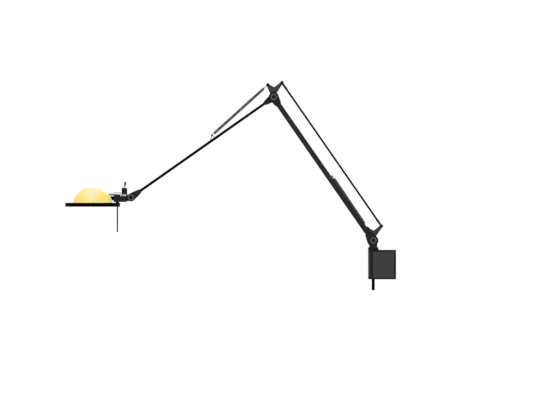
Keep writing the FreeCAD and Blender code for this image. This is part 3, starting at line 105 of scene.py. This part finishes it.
class Nodes:
    """A material's node tree, with short ways to add to it."""

    def __init__(self, name):
        self.material = bpy.data.materials.new(name)
        self.material.use_nodes = True
        self.tree = self.material.node_tree
        self.shader = self.tree.nodes["Principled BSDF"]
        self.place = self.add("ShaderNodeTexCoord").outputs["Object"]

    def add(self, kind, **settings):
        """A node with settings, each a property of the node or else one of its sockets."""
        node = self.tree.nodes.new(kind)
        for name, value in settings.items():
            if hasattr(node, name):
                setattr(node, name, value)
            else:
                node.inputs[name.replace("_", " ")].default_value = value
        return node

    def link(self, start, end):
        self.tree.links.new(start, end)

    def set(self, **values):
        """Constants of the shader, by the names of its sockets."""
        for name, value in values.items():
            self.shader.inputs[name.replace("_", " ")].default_value = value

    def noise(self, scale, detail=3.0, stretch=None):
        """Noise in the object's own space; stretch squeezes it along the axes."""
        texture = self.add("ShaderNodeTexNoise", Scale=scale, Detail=detail)
        if stretch:
            mapping = self.add("ShaderNodeMapping")
            mapping.inputs["Scale"].default_value = stretch
            self.link(self.place, mapping.inputs["Vector"])
            self.link(mapping.outputs["Vector"], texture.inputs["Vector"])
        else:
            self.link(self.place, texture.inputs["Vector"])
        return texture.outputs["Fac"]

    def ramp(self, source, stops):
        """A colour ramp of (place, colour) stops."""
        ramp = self.add("ShaderNodeValToRGB")
        self.link(source, ramp.inputs["Fac"])
        elements = ramp.color_ramp.elements
        while len(elements) < len(stops):
            elements.new(0.5)
        for element, (at, colour) in zip(elements, stops):
            element.position = at
            element.color = colour
        return ramp.outputs["Color"]

    def spread(self, source, low, high):
        """A number that follows a texture between two values."""
        spread = self.add("ShaderNodeMapRange")
        spread.inputs["To Min"].default_value = low
        spread.inputs["To Max"].default_value = high
        self.link(source, spread.inputs["Value"])
        return spread.outputs["Result"]

    def bump(self, height, strength, distance, edge=0.0):
        """Relief from a texture; edge is the radius at which sharp edges look broken."""
        bump = self.add("ShaderNodeBump", Strength=strength, Distance=distance)
        self.link(height, bump.inputs["Height"])
        if edge:
            broken = self.add("ShaderNodeBevel", Radius=edge)
            self.link(broken.outputs["Normal"], bump.inputs["Normal"])
        self.link(bump.outputs["Normal"], self.shader.inputs["Normal"])

    def mottle(self, colour, share, scale):
        """Base colour that varies a little from place to place."""
        low = tuple(c * (1 - share) for c in colour[:3]) + (1,)
        high = tuple(min(1, c * (1 + share)) for c in colour[:3]) + (1,)
        colours = self.ramp(self.noise(scale), [(0.3, low), (0.7, high)])
        self.link(colours, self.shader.inputs["Base Color"])

    def math(self, operation, *values):
        """One operation on outputs and numbers."""
        node = self.add("ShaderNodeMath", operation=operation)
        for socket, value in zip(node.inputs, values):
            if isinstance(value, (int, float)):
                socket.default_value = value
            else:
                self.link(value, socket)
        return node.outputs[0]

    def along(self, axis, source=None):
        """One coordinate, without its sign, of the place or of another vector."""
        parts = self.add("ShaderNodeSeparateXYZ")
        self.link(source or self.place, parts.inputs[0])
        return self.math("ABSOLUTE", parts.outputs[axis])

    def faces(self):
        """The way that the surface faces, in the object's own space."""
        return self.add("ShaderNodeTexCoord").outputs["Normal"]

    def step(self, source, start, end):
        """0 before the start and 1 after the end, or the reverse where the end is the lower one."""
        step = self.add("ShaderNodeMapRange", interpolation_type="SMOOTHSTEP")
        step.inputs["From Min"].default_value = start
        step.inputs["From Max"].default_value = end
        self.link(source, step.inputs["Value"])
        return step.outputs["Result"]

    def flats(self, radius):
        """1 on open faces, falling to 0 at sharp edges over about the radius."""
        broken = self.add("ShaderNodeBevel", Radius=radius)
        true = self.add("ShaderNodeNewGeometry")
        agree = self.add("ShaderNodeVectorMath", operation="DOT_PRODUCT")
        self.link(broken.outputs["Normal"], agree.inputs[0])
        self.link(true.outputs["Normal"], agree.inputs[1])
        return self.step(agree.outputs["Value"], 0.9, 0.998)

    def two_tone(self, mask, rim, face, scale=70, share=0.18):
        """Base colour between a rim's and a face's by a mask, both varying a little."""
        uneven = self.math("MULTIPLY_ADD", self.noise(scale), share, -share / 2)
        stops = [(share / 2, rim), (1 - share / 2, face)]
        self.link(self.ramp(self.math("ADD", mask, uneven), stops), self.shader.inputs["Base Color"])


# The grain of sprayed paint and of moulded plastic: texture scale, and depth in metres
PAINT_GRAIN, PAINT_DEPTH = 900, 0.00004
MOULD_GRAIN, MOULD_DEPTH = 2200, 0.00005


def paint(name, colour, roughness, shine, rim=None, wide=0.0):
    """Sprayed paint: a fine orange-peel grain, a sheen that varies a little, and painted shade where
    one is given: a darker rim this wide along the edges."""
    m = Nodes(name)
    if rim:
        # painted shade: the edges, where the surface turns away, take the darker rim colour
        m.two_tone(m.flats(wide), rim, colour)
    else:
        m.mottle(colour, 0.15, 60)
    m.link(m.spread(m.noise(140), roughness - 0.05, roughness + 0.06), m.shader.inputs["Roughness"])
    m.bump(m.noise(PAINT_GRAIN, 2), 0.35, PAINT_DEPTH, 0.0004)
    m.set(Specular_IOR_Level=shine)
    return m.material


def moulded(name, colour, roughness, shine=0.3, rim=None, wide=0.0):
    """Moulded plastic with a spark-eroded texture, and painted shade where one is given: a darker
    rim this wide along the edges.
    """
    m = Nodes(name)
    if rim:
        # painted shade: the edges, where the surface turns away, take the darker rim colour
        m.two_tone(m.flats(wide), rim, colour)
    else:
        m.mottle(colour, 0.18, 90)
    m.link(m.spread(m.noise(400), roughness - 0.06, roughness + 0.08), m.shader.inputs["Roughness"])
    m.bump(m.noise(MOULD_GRAIN, 4), 0.45, MOULD_DEPTH, 0.0005)
    m.set(Specular_IOR_Level=shine)
    return m.material


# The wall box's dark borders, painted shade, are full up to the first distance and gone at the
# second, in metres from its top or bottom and from the wall. Its dark round front corners, painted
# shade too, lie where the surface has turned between these shares of the way to the front, each
# with a soft start and end
TOP_BORDER = (0.0036, 0.005)
WALL_BORDER = (0.0042, 0.0058)
CORNER_START, CORNER_END = (0.05, 0.18), (0.85, 0.55)


def box_paint():
    """The wall box: grey satin flanks, with painted shade, a deep black, on its borders and round its
    front corners."""
    m = Nodes("box_paint_look")
    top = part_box("wall_box_cover")[1].z
    turned = m.along("X", m.faces())
    round_corner = m.math("MULTIPLY", m.step(turned, *CORNER_START), m.step(turned, *CORNER_END))
    upright = m.step(m.along("Z"), *(top - border for border in TOP_BORDER))
    from_wall = m.step(m.along("X"), *WALL_BORDER)
    flat = m.math("MULTIPLY", upright, m.math("SUBTRACT", 1.0, round_corner))
    # painted shade: borders and round corners take the near-black, the flat flank the grey
    m.two_tone(m.math("MULTIPLY", flat, from_wall), linear(20, 20, 19), linear(55, 55, 54), 40, 0.06)
    m.link(m.spread(m.noise(140), 0.44, 0.56), m.shader.inputs["Roughness"])
    m.bump(m.noise(PAINT_GRAIN, 2), 0.35, PAINT_DEPTH, 0.0004)
    m.set(Specular_IOR_Level=0.1)
    return m.material


# Distances from a yoke's middle plane between which its ribs lie, each with a soft start and end
RIB_INSIDE = (0.0036, 0.0039)
RIB_OUTSIDE = (0.0052, 0.0047)


def yoke_plastic():
    """The yokes, in painted light and shade: grey sunk panels and flat neck faces between black ribs
    and edges.
    """
    m = Nodes("yoke_look")
    across = m.along("Y")
    rib = m.math("MULTIPLY", m.step(across, *RIB_INSIDE), m.step(across, *RIB_OUTSIDE))
    # painted light: faces turned to either side along Y are lit grey; ribs and edges stay black as
    # painted shade
    side_on = m.step(m.along("Y", m.faces()), 0.6, 0.9)
    panel = m.math("MULTIPLY", side_on, m.math("SUBTRACT", 1.0, rib))
    m.two_tone(m.math("MULTIPLY", panel, m.flats(0.001)), linear(9, 9, 9), linear(58, 58, 57))
    m.link(m.spread(m.noise(400), 0.36, 0.5), m.shader.inputs["Roughness"])
    m.bump(m.noise(MOULD_GRAIN, 4), 0.45, MOULD_DEPTH, 0.0005)
    m.set(Specular_IOR_Level=0.1)
    return m.material


def flat_bar():
    """The lower arm's bars, in painted light and shade: dark grey flat faces and black round edges."""
    m = Nodes("flat_bar_look")
    # painted light and shade: faces turned to either side are dark grey, the round edges black
    m.two_tone(m.step(m.along("Y", m.faces()), 0.8, 0.98), linear(5, 5, 5), linear(38, 38, 39))
    m.link(m.spread(m.noise(140), 0.32, 0.44), m.shader.inputs["Roughness"])
    m.bump(m.noise(PAINT_GRAIN, 2), 0.35, PAINT_DEPTH)
    m.set(Specular_IOR_Level=0.04)
    return m.material


ARM_BOLT_CROWN, HEAD_BOLT_CROWN = 0.0142, 0.0094  # from the lamp's middle plane
CROWN_FADE = 0.0003


def bolt_metal(name, crown):
    """A blackened bolt whose head's crown, beyond this distance from the middle, is painted bright as
    a highlight.
    """
    m = Nodes(name)
    # painted highlight: the crown takes the light grey, the rest of the bolt the dark
    dark = m.step(m.along("Y"), crown + CROWN_FADE, crown)
    m.two_tone(dark, linear(92, 92, 93), linear(30, 30, 32), 300, 0.2)
    m.link(m.spread(m.noise(260), 0.28, 0.46), m.shader.inputs["Roughness"])
    m.bump(m.noise(700), 0.25, 0.00002, 0.0003)
    m.set(Metallic=1.0)
    return m.material


def metal(name, colour, roughness, stretch=(1, 1, 30), rim=None, wide=0.0):
    """Drawn or turned metal: fine lines along one way, with a slightly uneven sheen, and painted shade
    where a rim is given: a darker rim this wide along the edges.
    """
    m = Nodes(name)
    if rim:
        # painted shade: the edges, where the surface turns away, take the darker rim colour
        m.two_tone(m.flats(wide), rim, colour, 120, 0.15)
    else:
        m.mottle(colour, 0.12, 120)
    lines = m.noise(260, 3, stretch)
    m.link(m.spread(lines, roughness - 0.08, roughness + 0.1), m.shader.inputs["Roughness"])
    m.bump(lines, 0.25, 0.00002, 0.0003)
    m.set(Metallic=1.0)
    return m.material


# The dome's painted glow changes between these distances from its middle at the bulb's height,
# measured with each axis scaled by its share. The pale band of painted light fades out from the
# second height above the dome's foot to the first, and where it is full it has this share of the
# colour
GLOW_REACH = (0.006, 0.054)
GLOW_SQUEEZE = (1.0, 0.35, 0.8)
FOOT_BAND = (0.009, 0.003)
FOOT_SHARE = 0.7


def dome_glass():
    """Satin yellow glass with a painted glow for the bulb's light inside it. It is palest in the middle
    at the bulb's height, a deeper yellow further out, and pale again in a band at its foot."""
    m = Nodes("yellow_glass_look")
    bulb = sum(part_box("halogen_bulb"), Vector()) / 2
    middle = sum(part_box("glass_dome"), Vector()) / 2
    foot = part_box("glass_dome")[0].z
    away = m.add("ShaderNodeVectorMath", operation="SUBTRACT")
    m.link(m.place, away.inputs[0])
    away.inputs[1].default_value = (middle.x, middle.y, bulb.z)
    squeezed = m.add("ShaderNodeVectorMath", operation="MULTIPLY")
    m.link(away.outputs["Vector"], squeezed.inputs[0])
    squeezed.inputs[1].default_value = GLOW_SQUEEZE
    reach = m.add("ShaderNodeVectorMath", operation="LENGTH")
    m.link(squeezed.outputs["Vector"], reach.inputs[0])
    outward = m.step(reach.outputs["Value"], *GLOW_REACH)
    cloud = m.math("MULTIPLY_ADD", m.noise(24, 1), 0.05, outward)
    glow = m.ramp(
        cloud,
        [
            (0.03, linear(255, 238, 222)),
            (0.12, linear(255, 237, 204)),
            (0.28, linear(252, 234, 158)),
            (0.5, linear(247, 229, 118)),
            (1.0, linear(242, 228, 116)),
        ],
    )
    parts = m.add("ShaderNodeSeparateXYZ")
    m.link(m.place, parts.inputs[0])
    height = m.step(parts.outputs["Z"], *(foot + up for up in FOOT_BAND))
    pale = m.add("ShaderNodeMix", data_type="RGBA")
    m.link(m.math("MULTIPLY", height, FOOT_SHARE), pale.inputs[0])
    m.link(glow, pale.inputs[6])
    m.link(m.ramp(m.noise(20), [(0, linear(254, 240, 168)), (1, linear(252, 236, 158))]), pale.inputs[7])
    # painted light: the glow colour, palest where the bulb is, goes to the emission
    m.link(pale.outputs[2], m.shader.inputs["Emission Color"])
    m.link(
        m.ramp(m.noise(30, 1), [(0, (0.3, 0.23, 0.06, 1)), (1, (0.33, 0.25, 0.07, 1))]),
        m.shader.inputs["Base Color"],
    )
    m.link(m.spread(m.noise(30), 0.32, 0.38), m.shader.inputs["Roughness"])
    m.bump(m.noise(24, 1), 0.04, 0.0004, 0.0006)
    m.set(IOR=1.3, Specular_IOR_Level=0.2, Emission_Strength=0.68, Coat_Weight=0.12)
    m.set(Coat_Roughness=0.2, Coat_IOR=1.4)
    m.set(Sheen_Weight=0.8, Sheen_Roughness=0.4, Sheen_Tint=(1.0, 0.98, 0.88, 1))
    return m.material


def clear_glass(name, colour, roughness, glow=0.0, glow_colour=(1, 1, 1, 1)):
    """Glass that lets light through, and may glow."""
    m = Nodes(name)
    m.mottle(colour, 0.02, 40)
    m.link(m.spread(m.noise(300), roughness, roughness + 0.05), m.shader.inputs["Roughness"])
    m.set(Transmission_Weight=0.9, IOR=1.45)
    m.set(Emission_Color=glow_colour, Emission_Strength=glow)
    return m.material


def filament_glow():
    """The lit filament."""
    m = Nodes("filament_look")
    warm = m.ramp(m.noise(500), [(0.2, (1, 0.72, 0.38, 1)), (0.8, (1, 0.86, 0.6, 1))])
    m.link(warm, m.shader.inputs["Emission Color"])
    m.set(Emission_Strength=20.0, Roughness=0.4)
    return m.material


LOOKS = {
    "box_paint": box_paint(),
    "plate_steel": metal("plate_steel_look", linear(150, 150, 152), 0.45),
    # painted shade: a near-black rim 3 mm wide on the arms' edges
    "arm_black": paint(
        "arm_black_look", linear(33, 33, 34), 0.36, shine=0.03, rim=linear(4, 4, 5), wide=0.003
    ),
    "rod_black": paint("rod_black_look", linear(4, 4, 4), 0.34, shine=0.008),
    # painted shade: a near-black rim 2.4 mm wide on the moulded parts' edges
    "moulded_black": moulded(
        "moulded_black_look", linear(36, 36, 37), 0.42, shine=0.03, rim=linear(6, 6, 6), wide=0.0024
    ),
    "disc_black": moulded("disc_black_look", linear(4, 3, 1), 0.42, shine=0.008),
    "steel": metal("steel_look", linear(150, 150, 152), 0.35),
    "bolt_black": metal("bolt_black_look", linear(44, 44, 46), 0.36),
    "spring_steel": metal("spring_steel_look", linear(96, 96, 97), 0.34),
    # painted shade: a darker grey rim 1.6 mm wide on the switch metal's edges
    "switch_metal": metal(
        "switch_metal_look", linear(168, 168, 167), 0.3, (1, 1, 8), linear(92, 92, 92), 0.0016
    ),
    "lever_black": paint("lever_black_look", linear(4, 4, 4), 0.34, shine=0.008),
    "handle_black": paint("handle_black_look", linear(8, 8, 8), 0.36, shine=0.015),
    "yellow_glass": dome_glass(),
    "clear_glass": clear_glass("clear_glass_look", (0.93, 0.94, 0.9, 1), 0.3),
    "bulb_glass": clear_glass("bulb_glass_look", (1, 0.98, 0.94, 1), 0.02, 3.0, (1, 0.86, 0.66, 1)),
    "reflector_aluminium": metal("reflector_look", linear(225, 225, 222), 0.22, (1, 1, 3)),
    "brass": metal("brass_look", linear(205, 172, 96), 0.3),
    "inner_plastic": moulded("inner_plastic_look", linear(214, 211, 202), 0.5),
    "terminal_plastic": moulded("terminal_plastic_look", linear(228, 222, 204), 0.45),
    "transformer_case": moulded("transformer_case_look", linear(48, 48, 52), 0.5),
    "lead_sheath": moulded("lead_sheath_look", linear(140, 34, 28), 0.4),
}
YOKE = yoke_plastic()
TUBE = paint("tube_look", linear(9, 9, 10), 0.34, shine=0.012)
BAR = flat_bar()
OWN_LOOKS = {
    "base_yoke": YOKE,
    "elbow_yoke": YOKE,
    "outer_arm_tube": TUBE,
    "lower_arm_bar_left": BAR,
    "lower_arm_bar_right": BAR,
    "arm_pivot_bolts": bolt_metal("arm_bolt_look", ARM_BOLT_CROWN),
    "head_pivot_bolt": bolt_metal("head_bolt_look", HEAD_BOLT_CROWN),
    "bar_rivets": LOOKS["spring_steel"],
}
FILAMENT = filament_glow()


def dress_cad():
    """Every CAD node gets its own look, or else its slot's."""
    for entry in frame["record"]["subparts"]:
        node = frame["nodes"][entry["node"]]
        node.data.materials.clear()
        look = OWN_LOOKS.get(entry["node"], LOOKS[entry["material_slot"]])
        node.data.materials.append(look)


# --------------------------------------------------------------------------------------- pieces


def piece(name, vertices, faces, look, body, slot, smooth=True):
    """A mesh piece with a look of its own, which rides on a body. The slot argument is not used."""
    mesh = bpy.data.meshes.new(name)
    mesh.from_pydata([tuple(v) for v in vertices], [], faces)
    mesh.validate()
    for face in mesh.polygons:
        face.use_smooth = smooth
    mesh.materials.append(look)
    thing = bpy.data.objects.new(name, mesh)
    scene.collection.objects.link(thing)
    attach(thing, body)
    return thing


def frame_along(start, end):
    """A matrix whose Z runs from start to end."""
    way = end - start
    return Matrix.Translation(start) @ way.to_track_quat("Z", "Y").to_matrix().to_4x4()


def tube_mesh(points, radius, sides=8):
    """A closed tube along points, its rings kept from twisting."""
    vertices, faces = [], []
    count = len(points)
    side = (points[1] - points[0]).orthogonal().normalized()
    for i, point in enumerate(points):
        run = (points[min(i + 1, count - 1)] - points[max(i - 1, 0)]).normalized()
        side = (side - run * side.dot(run)).normalized()
        other = run.cross(side)
        for k in range(sides):
            angle = 2 * math.pi * k / sides
            vertices.append(point + radius * (side * math.cos(angle) + other * math.sin(angle)))
    for i in range(count - 1):
        for k in range(sides):
            a, b = i * sides + k, i * sides + (k + 1) % sides
            faces.append((a, b, b + sides, a + sides))
    faces.append(tuple(range(sides))[::-1])
    faces.append(tuple(range((count - 1) * sides, count * sides)))
    return vertices, faces


def turned_mesh(profile, place, sides=64):
    """A closed solid turned round an axis: profile is (radius, height) pairs from axis to axis."""
    vertices, faces, rings = [], [], []
    for radius, height in profile:
        if radius < 1e-7:
            rings.append([len(vertices)] * sides)
            vertices.append(place @ Vector((0, 0, height)))
            continue
        rings.append(list(range(len(vertices), len(vertices) + sides)))
        for k in range(sides):
            angle = 2 * math.pi * k / sides
            at = Vector((radius * math.cos(angle), radius * math.sin(angle), height))
            vertices.append(place @ at)
    for low, high in zip(rings, rings[1:]):
        for k in range(sides):
            n = (k + 1) % sides
            loop = [low[k], low[n], high[n], high[k]]
            face = tuple(dict.fromkeys(loop))
            if len(face) > 2:
                faces.append(face)
    return vertices, faces


# Real sizes of the springs, in metres. A coil is in two halves, one on the arm's side and one on the
# yoke's, which run into each other; at rest they share the stretch between these distances from the
# yoke's pin, turn for turn. The line between a spring's two ends turns a little further than the
# spring's bodies, to the same side at both limits of the joint; swing is how far that moves one end.
COILS = {
    "lower_spring": dict(
        pin="lower_hook_pivot",
        anchor="lower_spring_anchor_pivot",
        hook="lower_hook",
        joint="lower_arm_pivot",
        radius=0.0039,
        shared=(0.024, 0.04),
        swing=0.0014,
    ),
    "outer_spring": dict(
        pin="outer_hook_pivot",
        anchor="outer_spring_anchor_pivot",
        hook="outer_hook",
        joint="outer_arm_pivot",
        radius=0.0034,
        shared=(0.032, 0.06),
        swing=0.0074,
    ),
}
COIL_START, COIL_FOOT = 0.014, 0.007  # from the yoke's pin and from the arm's
WIRE_RADIUS = 0.0006
HIDDEN_WIRE_RADIUS = 0.00057  # the yoke's half, which lies inside the other's wire at rest
COIL_PITCH = 0.00152
STEPS_PER_TURN = 20
ROD_RADIUS, ROD_LENGTH, ROD_STEP = 0.0009, 0.05, 0.01
EYE_RADIUS, EYE_WIRE_RADIUS = 0.0024, 0.0006


def ring_mesh(place, radius, wire, sides=32, around=12):
    """A closed ring of round wire in the XZ plane of a place."""
    vertices, faces = [], []
    for i in range(sides):
        turn = 2 * math.pi * i / sides
        for k in range(around):
            angle = 2 * math.pi * k / around
            out = radius + wire * math.cos(angle)
            at = Vector((out * math.cos(turn), wire * math.sin(angle), out * math.sin(turn)))
            vertices.append(place @ at)
            near, far = i * around, (i + 1) % sides * around
            n = (k + 1) % around
            faces.append((near + k, near + n, far + n, far + k))
    return vertices, faces


def joined(first, second):
    """Two meshes as one."""
    (vertices, faces), (more, others) = first, second
    shift = len(vertices)
    return vertices + more, faces + [tuple(i + shift for i in face) for face in others]


def coil(name, pin, anchor, hook, joint, radius, shared, swing):
    """A close-wound tension spring between its two plugs, and the hook rod inside its yoke end."""
    start, end = pivot(pin), pivot(anchor)
    place = frame_along(start, end)
    length = (end - start).length
    low, high = COIL_START, length - COIL_FOOT
    turns = round((high - low) / COIL_PITCH)

    def helix(near, far):
        """The wire's middle line between two distances from the yoke's pin."""
        first, last = (round((at - low) / (high - low) * turns * STEPS_PER_TURN) for at in (near, far))
        for i in range(first, last + 1):
            turn = i / STEPS_PER_TURN
            angle = 2 * math.pi * turn
            up = low + (high - low) * turn / turns
            yield place @ Vector((radius * math.cos(angle), radius * math.sin(angle), up))

    steps = round(ROD_LENGTH / ROD_STEP)
    ups = [EYE_RADIUS + (ROD_LENGTH - EYE_RADIUS) * i / steps for i in range(steps + 1)]
    rod = tube_mesh([place @ Vector((0, 0, up)) for up in ups], ROD_RADIUS, 12)
    rod = joined(rod, ring_mesh(Matrix.Translation(start), EYE_RADIUS, EYE_WIRE_RADIUS))
    pieces = [
        ("_wire", tube_mesh(list(helix(shared[0], high)), WIRE_RADIUS), name, end),
        ("_wire_end", tube_mesh(list(helix(low, shared[1])), HIDDEN_WIRE_RADIUS), hook, start),
        ("_hook", rod, hook, start),
    ]
    for title, shape, body, held in pieces:
        thing = piece(name + title, *shape, LOOKS["spring_steel"], body, "spring_steel")
        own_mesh(thing)
    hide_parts(name)
    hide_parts(name + "_hook_rod")


def springs():
    """Both springs."""
    for name, facts in COILS.items():
        coil(name, **facts)


# The bulb, in metres from the ends of its pins: the flat pinch that the pins run into, and the
# envelope, which starts a little inside the pinch's end
PINCH_END, PINCH_START, PINCH_HALF_WIDTH, PINCH_HALF_DEPTH = 0.009, 0.003, 0.0034, 0.0014
ENVELOPE_SINK = 0.002
# The envelope's shoulder: shares of its radius, and how far past the pinch's end each ring lies
SHOULDER = ((0.45, -ENVELOPE_SINK), (0.8, 0.0), (1.0, 0.003))
PIP = ((0.0011, 0.001), (0.0007, 0.0002))  # the radius, and how far below the tip
PIP_HEIGHT = 0.001
CROWN_RINGS = 9
PIN_OFFSET, PIN_LENGTH, PIN_STEPS, PIN_RADIUS = 0.002, 0.0045, 3, 0.0005
FILAMENT_TURNS, FILAMENT_STEPS, FILAMENT_WIRE = 9, 16, 0.00022
FILAMENT_RADIUS, FILAMENT_LENGTH, FILAMENT_START = 0.0014, 0.012, 0.005


def halogen_bulb():
    """The capsule: a round quartz envelope with a pip, a flat pinch, two pins and a lit filament."""
    low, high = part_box("halogen_bulb")
    middle = (low + high) / 2
    start = Vector((high.x, middle.y, middle.z))
    place = frame_along(start, Vector((low.x, middle.y, middle.z)))
    length = high.x - low.x
    radius = (high.z - low.z) / 2
    profile = [(0, PINCH_END - ENVELOPE_SINK)]
    profile += [(radius * share, PINCH_END + past) for share, past in SHOULDER]
    profile.append((radius, length - radius))
    for i in range(1, CROWN_RINGS):
        angle = math.pi / 2 * i / CROWN_RINGS
        rise = (radius - PIP_HEIGHT) * math.sin(angle)
        profile.append((radius * math.cos(angle), length - radius + rise))
    profile += [(across, length - below) for across, below in PIP] + [(0, length)]
    vertices, faces = turned_mesh(profile, place)
    body = piece("bulb_envelope", vertices, faces, LOOKS["bulb_glass"], "head", "bulb_glass")
    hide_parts("halogen_bulb")
    flat = flat_block(place, PINCH_HALF_WIDTH, PINCH_HALF_DEPTH, PINCH_START, PINCH_END)
    piece("bulb_pinch", *flat, LOOKS["bulb_glass"], "head", "bulb_glass", smooth=False)
    for side in (-1, 1):
        ups = [PIN_LENGTH * i / PIN_STEPS for i in range(PIN_STEPS + 1)]
        pin = tube_mesh([place @ Vector((PIN_OFFSET * side, 0, up)) for up in ups], PIN_RADIUS)
        piece(f"bulb_pin_{side + 1}", *pin, LOOKS["steel"], "head", "steel")
    points = []
    for i in range(FILAMENT_TURNS * FILAMENT_STEPS + 1):
        angle = 2 * math.pi * i / FILAMENT_STEPS
        up = PINCH_END + FILAMENT_START + FILAMENT_LENGTH * i / (FILAMENT_TURNS * FILAMENT_STEPS)
        across = FILAMENT_RADIUS * math.cos(angle), FILAMENT_RADIUS * math.sin(angle)
        points.append(place @ Vector((*across, up)))
    wire = tube_mesh(points, FILAMENT_WIRE, 6)
    piece("bulb_filament", *wire, FILAMENT, "head", "bulb_glass")


# The wedge at the dome's side: its gap to the dome, how far its point lies below the CAD clip, its
# least width, and the steps of its curved side
WEDGE_GAP, WEDGE_DROP, WEDGE_EDGE, WEDGE_STEPS = 0.0005, 0.0035, 0.0004, 6


def dome_wedge():
    """The wedge that holds the dome down: it fills the corner between the bracket's end and the
    dome, from the bracket's top down to a point on the dome's flank."""
    low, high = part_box("glass_dome")
    wedge_low, wedge_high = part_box("dome_clip")
    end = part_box("head_bracket")[0].x
    half = (high.x - low.x) / 2
    tall = high.z - low.z
    radius = (half * half + tall * tall) / (2 * tall)
    middle_x, middle_z = (low.x + high.x) / 2, high.z - radius
    foot = wedge_low.z - WEDGE_DROP
    outline = [(end, wedge_high.z), (end, foot)]
    for i in range(WEDGE_STEPS + 1):
        z = foot + (wedge_high.z - foot) * i / WEDGE_STEPS
        x = middle_x + math.sqrt((radius + WEDGE_GAP) ** 2 - (z - middle_z) ** 2)
        outline.append((min(x, end - WEDGE_EDGE), z))
    vertices = [Vector((x, y, z)) for y in (wedge_low.y, wedge_high.y) for x, z in outline]
    n = len(outline)
    faces = [(k, (k + 1) % n, n + (k + 1) % n, n + k) for k in range(n)]
    faces += [tuple(range(n))[::-1], tuple(range(n, 2 * n))]
    look = LOOKS["lever_black"]
    wedge = piece("dome_wedge", vertices, faces, look, "head", "moulded_black", smooth=False)
    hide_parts("dome_clip")


def flat_block(place, half_x, half_y, low, high):
    """A flat block with its long edges bevelled."""
    bevel = min(half_x, half_y) * 0.4
    ring = [
        (-half_x + bevel, -half_y),
        (half_x - bevel, -half_y),
        (half_x, -half_y + bevel),
        (half_x, half_y - bevel),
        (half_x - bevel, half_y),
        (-half_x + bevel, half_y),
        (-half_x, half_y - bevel),
        (-half_x, -half_y + bevel),
    ]
    vertices = [place @ Vector((x, y, z)) for z in (low, high) for x, y in ring]
    count = len(ring)
    faces = [(k, (k + 1) % count, count + (k + 1) % count, count + k) for k in range(count)]
    faces += [tuple(range(count))[::-1], tuple(range(count, 2 * count))]
    return vertices, faces


# ------------------------------------------------------------------------- floor, light, camera

# How much of the floor, where it is seen, is a light of its own; and the world's strengths, first
# as it lights the lamp and then where it is seen
FLOOR_GLOW = 0.82
SKY_LIGHT, SKY_WHITE = 0.62, 1.0
FLOOR_HALF, FLOOR_HEIGHT = 3.0, -0.62
# Where the area lamps point, and each one's place, size and power
AIM = (-0.35, 0, 0.2)
LAMPS = {
    "key": ((-1.6, -1.9, 1.9), 1.6, 34),
    "fill": ((1.4, -1.8, 0.9), 1.6, 14),
    "back": ((-0.4, 1.9, 1.4), 1.4, 14),
}


def floor_material():
    """Matt and pale. Seen by the camera, in gloss or through glass it is nearly a light of its own,
    and keeps a little of the lamp's shadow."""
    m = Nodes("floor_look")
    m.set(Base_Color=(0.9, 0.9, 0.9, 1), Roughness=0.9, Specular_IOR_Level=0.1)
    glow = m.add("ShaderNodeEmission", Strength=1.0)
    mix = m.add("ShaderNodeMixShader")
    m.link(m.math("MULTIPLY", seen_by_eye(m.tree), FLOOR_GLOW), mix.inputs[0])
    m.link(m.shader.outputs["BSDF"], mix.inputs[1])
    m.link(glow.outputs["Emission"], mix.inputs[2])
    out = m.tree.nodes["Material Output"]
    m.link(mix.outputs["Shader"], out.inputs["Surface"])
    return m.material


def floor():
    """A pale floor below the lamp."""
    corners = [(-1, -1), (1, -1), (1, 1), (-1, 1)]
    vertices = [(x * FLOOR_HALF, y * FLOOR_HALF, FLOOR_HEIGHT) for x, y in corners]
    mesh = bpy.data.meshes.new("floor")
    mesh.from_pydata(vertices, [], [(0, 1, 2, 3)])
    mesh.materials.append(floor_material())
    thing = bpy.data.objects.new("floor", mesh)
    scene.collection.objects.link(thing)


def world():
    """A soft even light, and a white background wherever it is seen, mirrored or looked through."""
    sky = bpy.data.worlds.new("studio")
    scene.world = sky
    sky.use_nodes = True
    tree = sky.node_tree
    tree.nodes.clear()
    mix = tree.nodes.new("ShaderNodeMixShader")
    out = tree.nodes.new("ShaderNodeOutputWorld")
    tree.links.new(seen_by_eye(tree), mix.inputs[0])
    for socket, strength in zip(mix.inputs[1:], (SKY_LIGHT, SKY_WHITE)):
        shade = tree.nodes.new("ShaderNodeBackground")
        shade.inputs["Strength"].default_value = strength
        shade.inputs["Color"].default_value = (1, 1, 1, 1)
        tree.links.new(shade.outputs[0], socket)
    tree.links.new(mix.outputs[0], out.inputs["Surface"])


def lamp(name, place, size, power):
    """A square area lamp that looks at the aim."""
    light = bpy.data.lights.new(name, "AREA")
    light.size = size
    light.energy = power
    thing = bpy.data.objects.new(name, light)
    scene.collection.objects.link(thing)
    thing.location = place
    thing.rotation_euler = (Vector(AIM) - Vector(place)).to_track_quat("-Z", "Y").to_euler()


def lights():
    """A key, a fill and a back lamp, all large and soft."""
    for name, (place, size, power) in LAMPS.items():
        lamp(name, place, size, power)


def camera():
    """A long lens square to the lamp's side, as in the photograph."""
    lens, sensor = 200.0, 36.0
    width = PHOTO_WIDTH * METRES_PER_PIXEL
    view = bpy.data.cameras.new("photo_view")
    view.lens = lens
    view.sensor_width = sensor
    view.clip_end = 100
    thing = bpy.data.objects.new("photo_view", view)
    scene.collection.objects.link(thing)
    x = (PHOTO_WIDTH / 2 - WALL_PIXEL_X) * METRES_PER_PIXEL
    z = (BOX_MIDDLE_PIXEL_Y - PHOTO_HEIGHT / 2) * METRES_PER_PIXEL
    thing.location = (x, -width * lens / sensor, z)
    thing.rotation_euler = (math.pi / 2, 0, 0)
    scene.camera = thing


# ------------------------------------------------------------------------------------ the scene

scene.view_settings.view_transform = "Standard"
camera()
dress_cad()
springs()
halogen_bulb()
dome_wedge()
floor()
world()
lights()


bpy.context.view_layer.update()
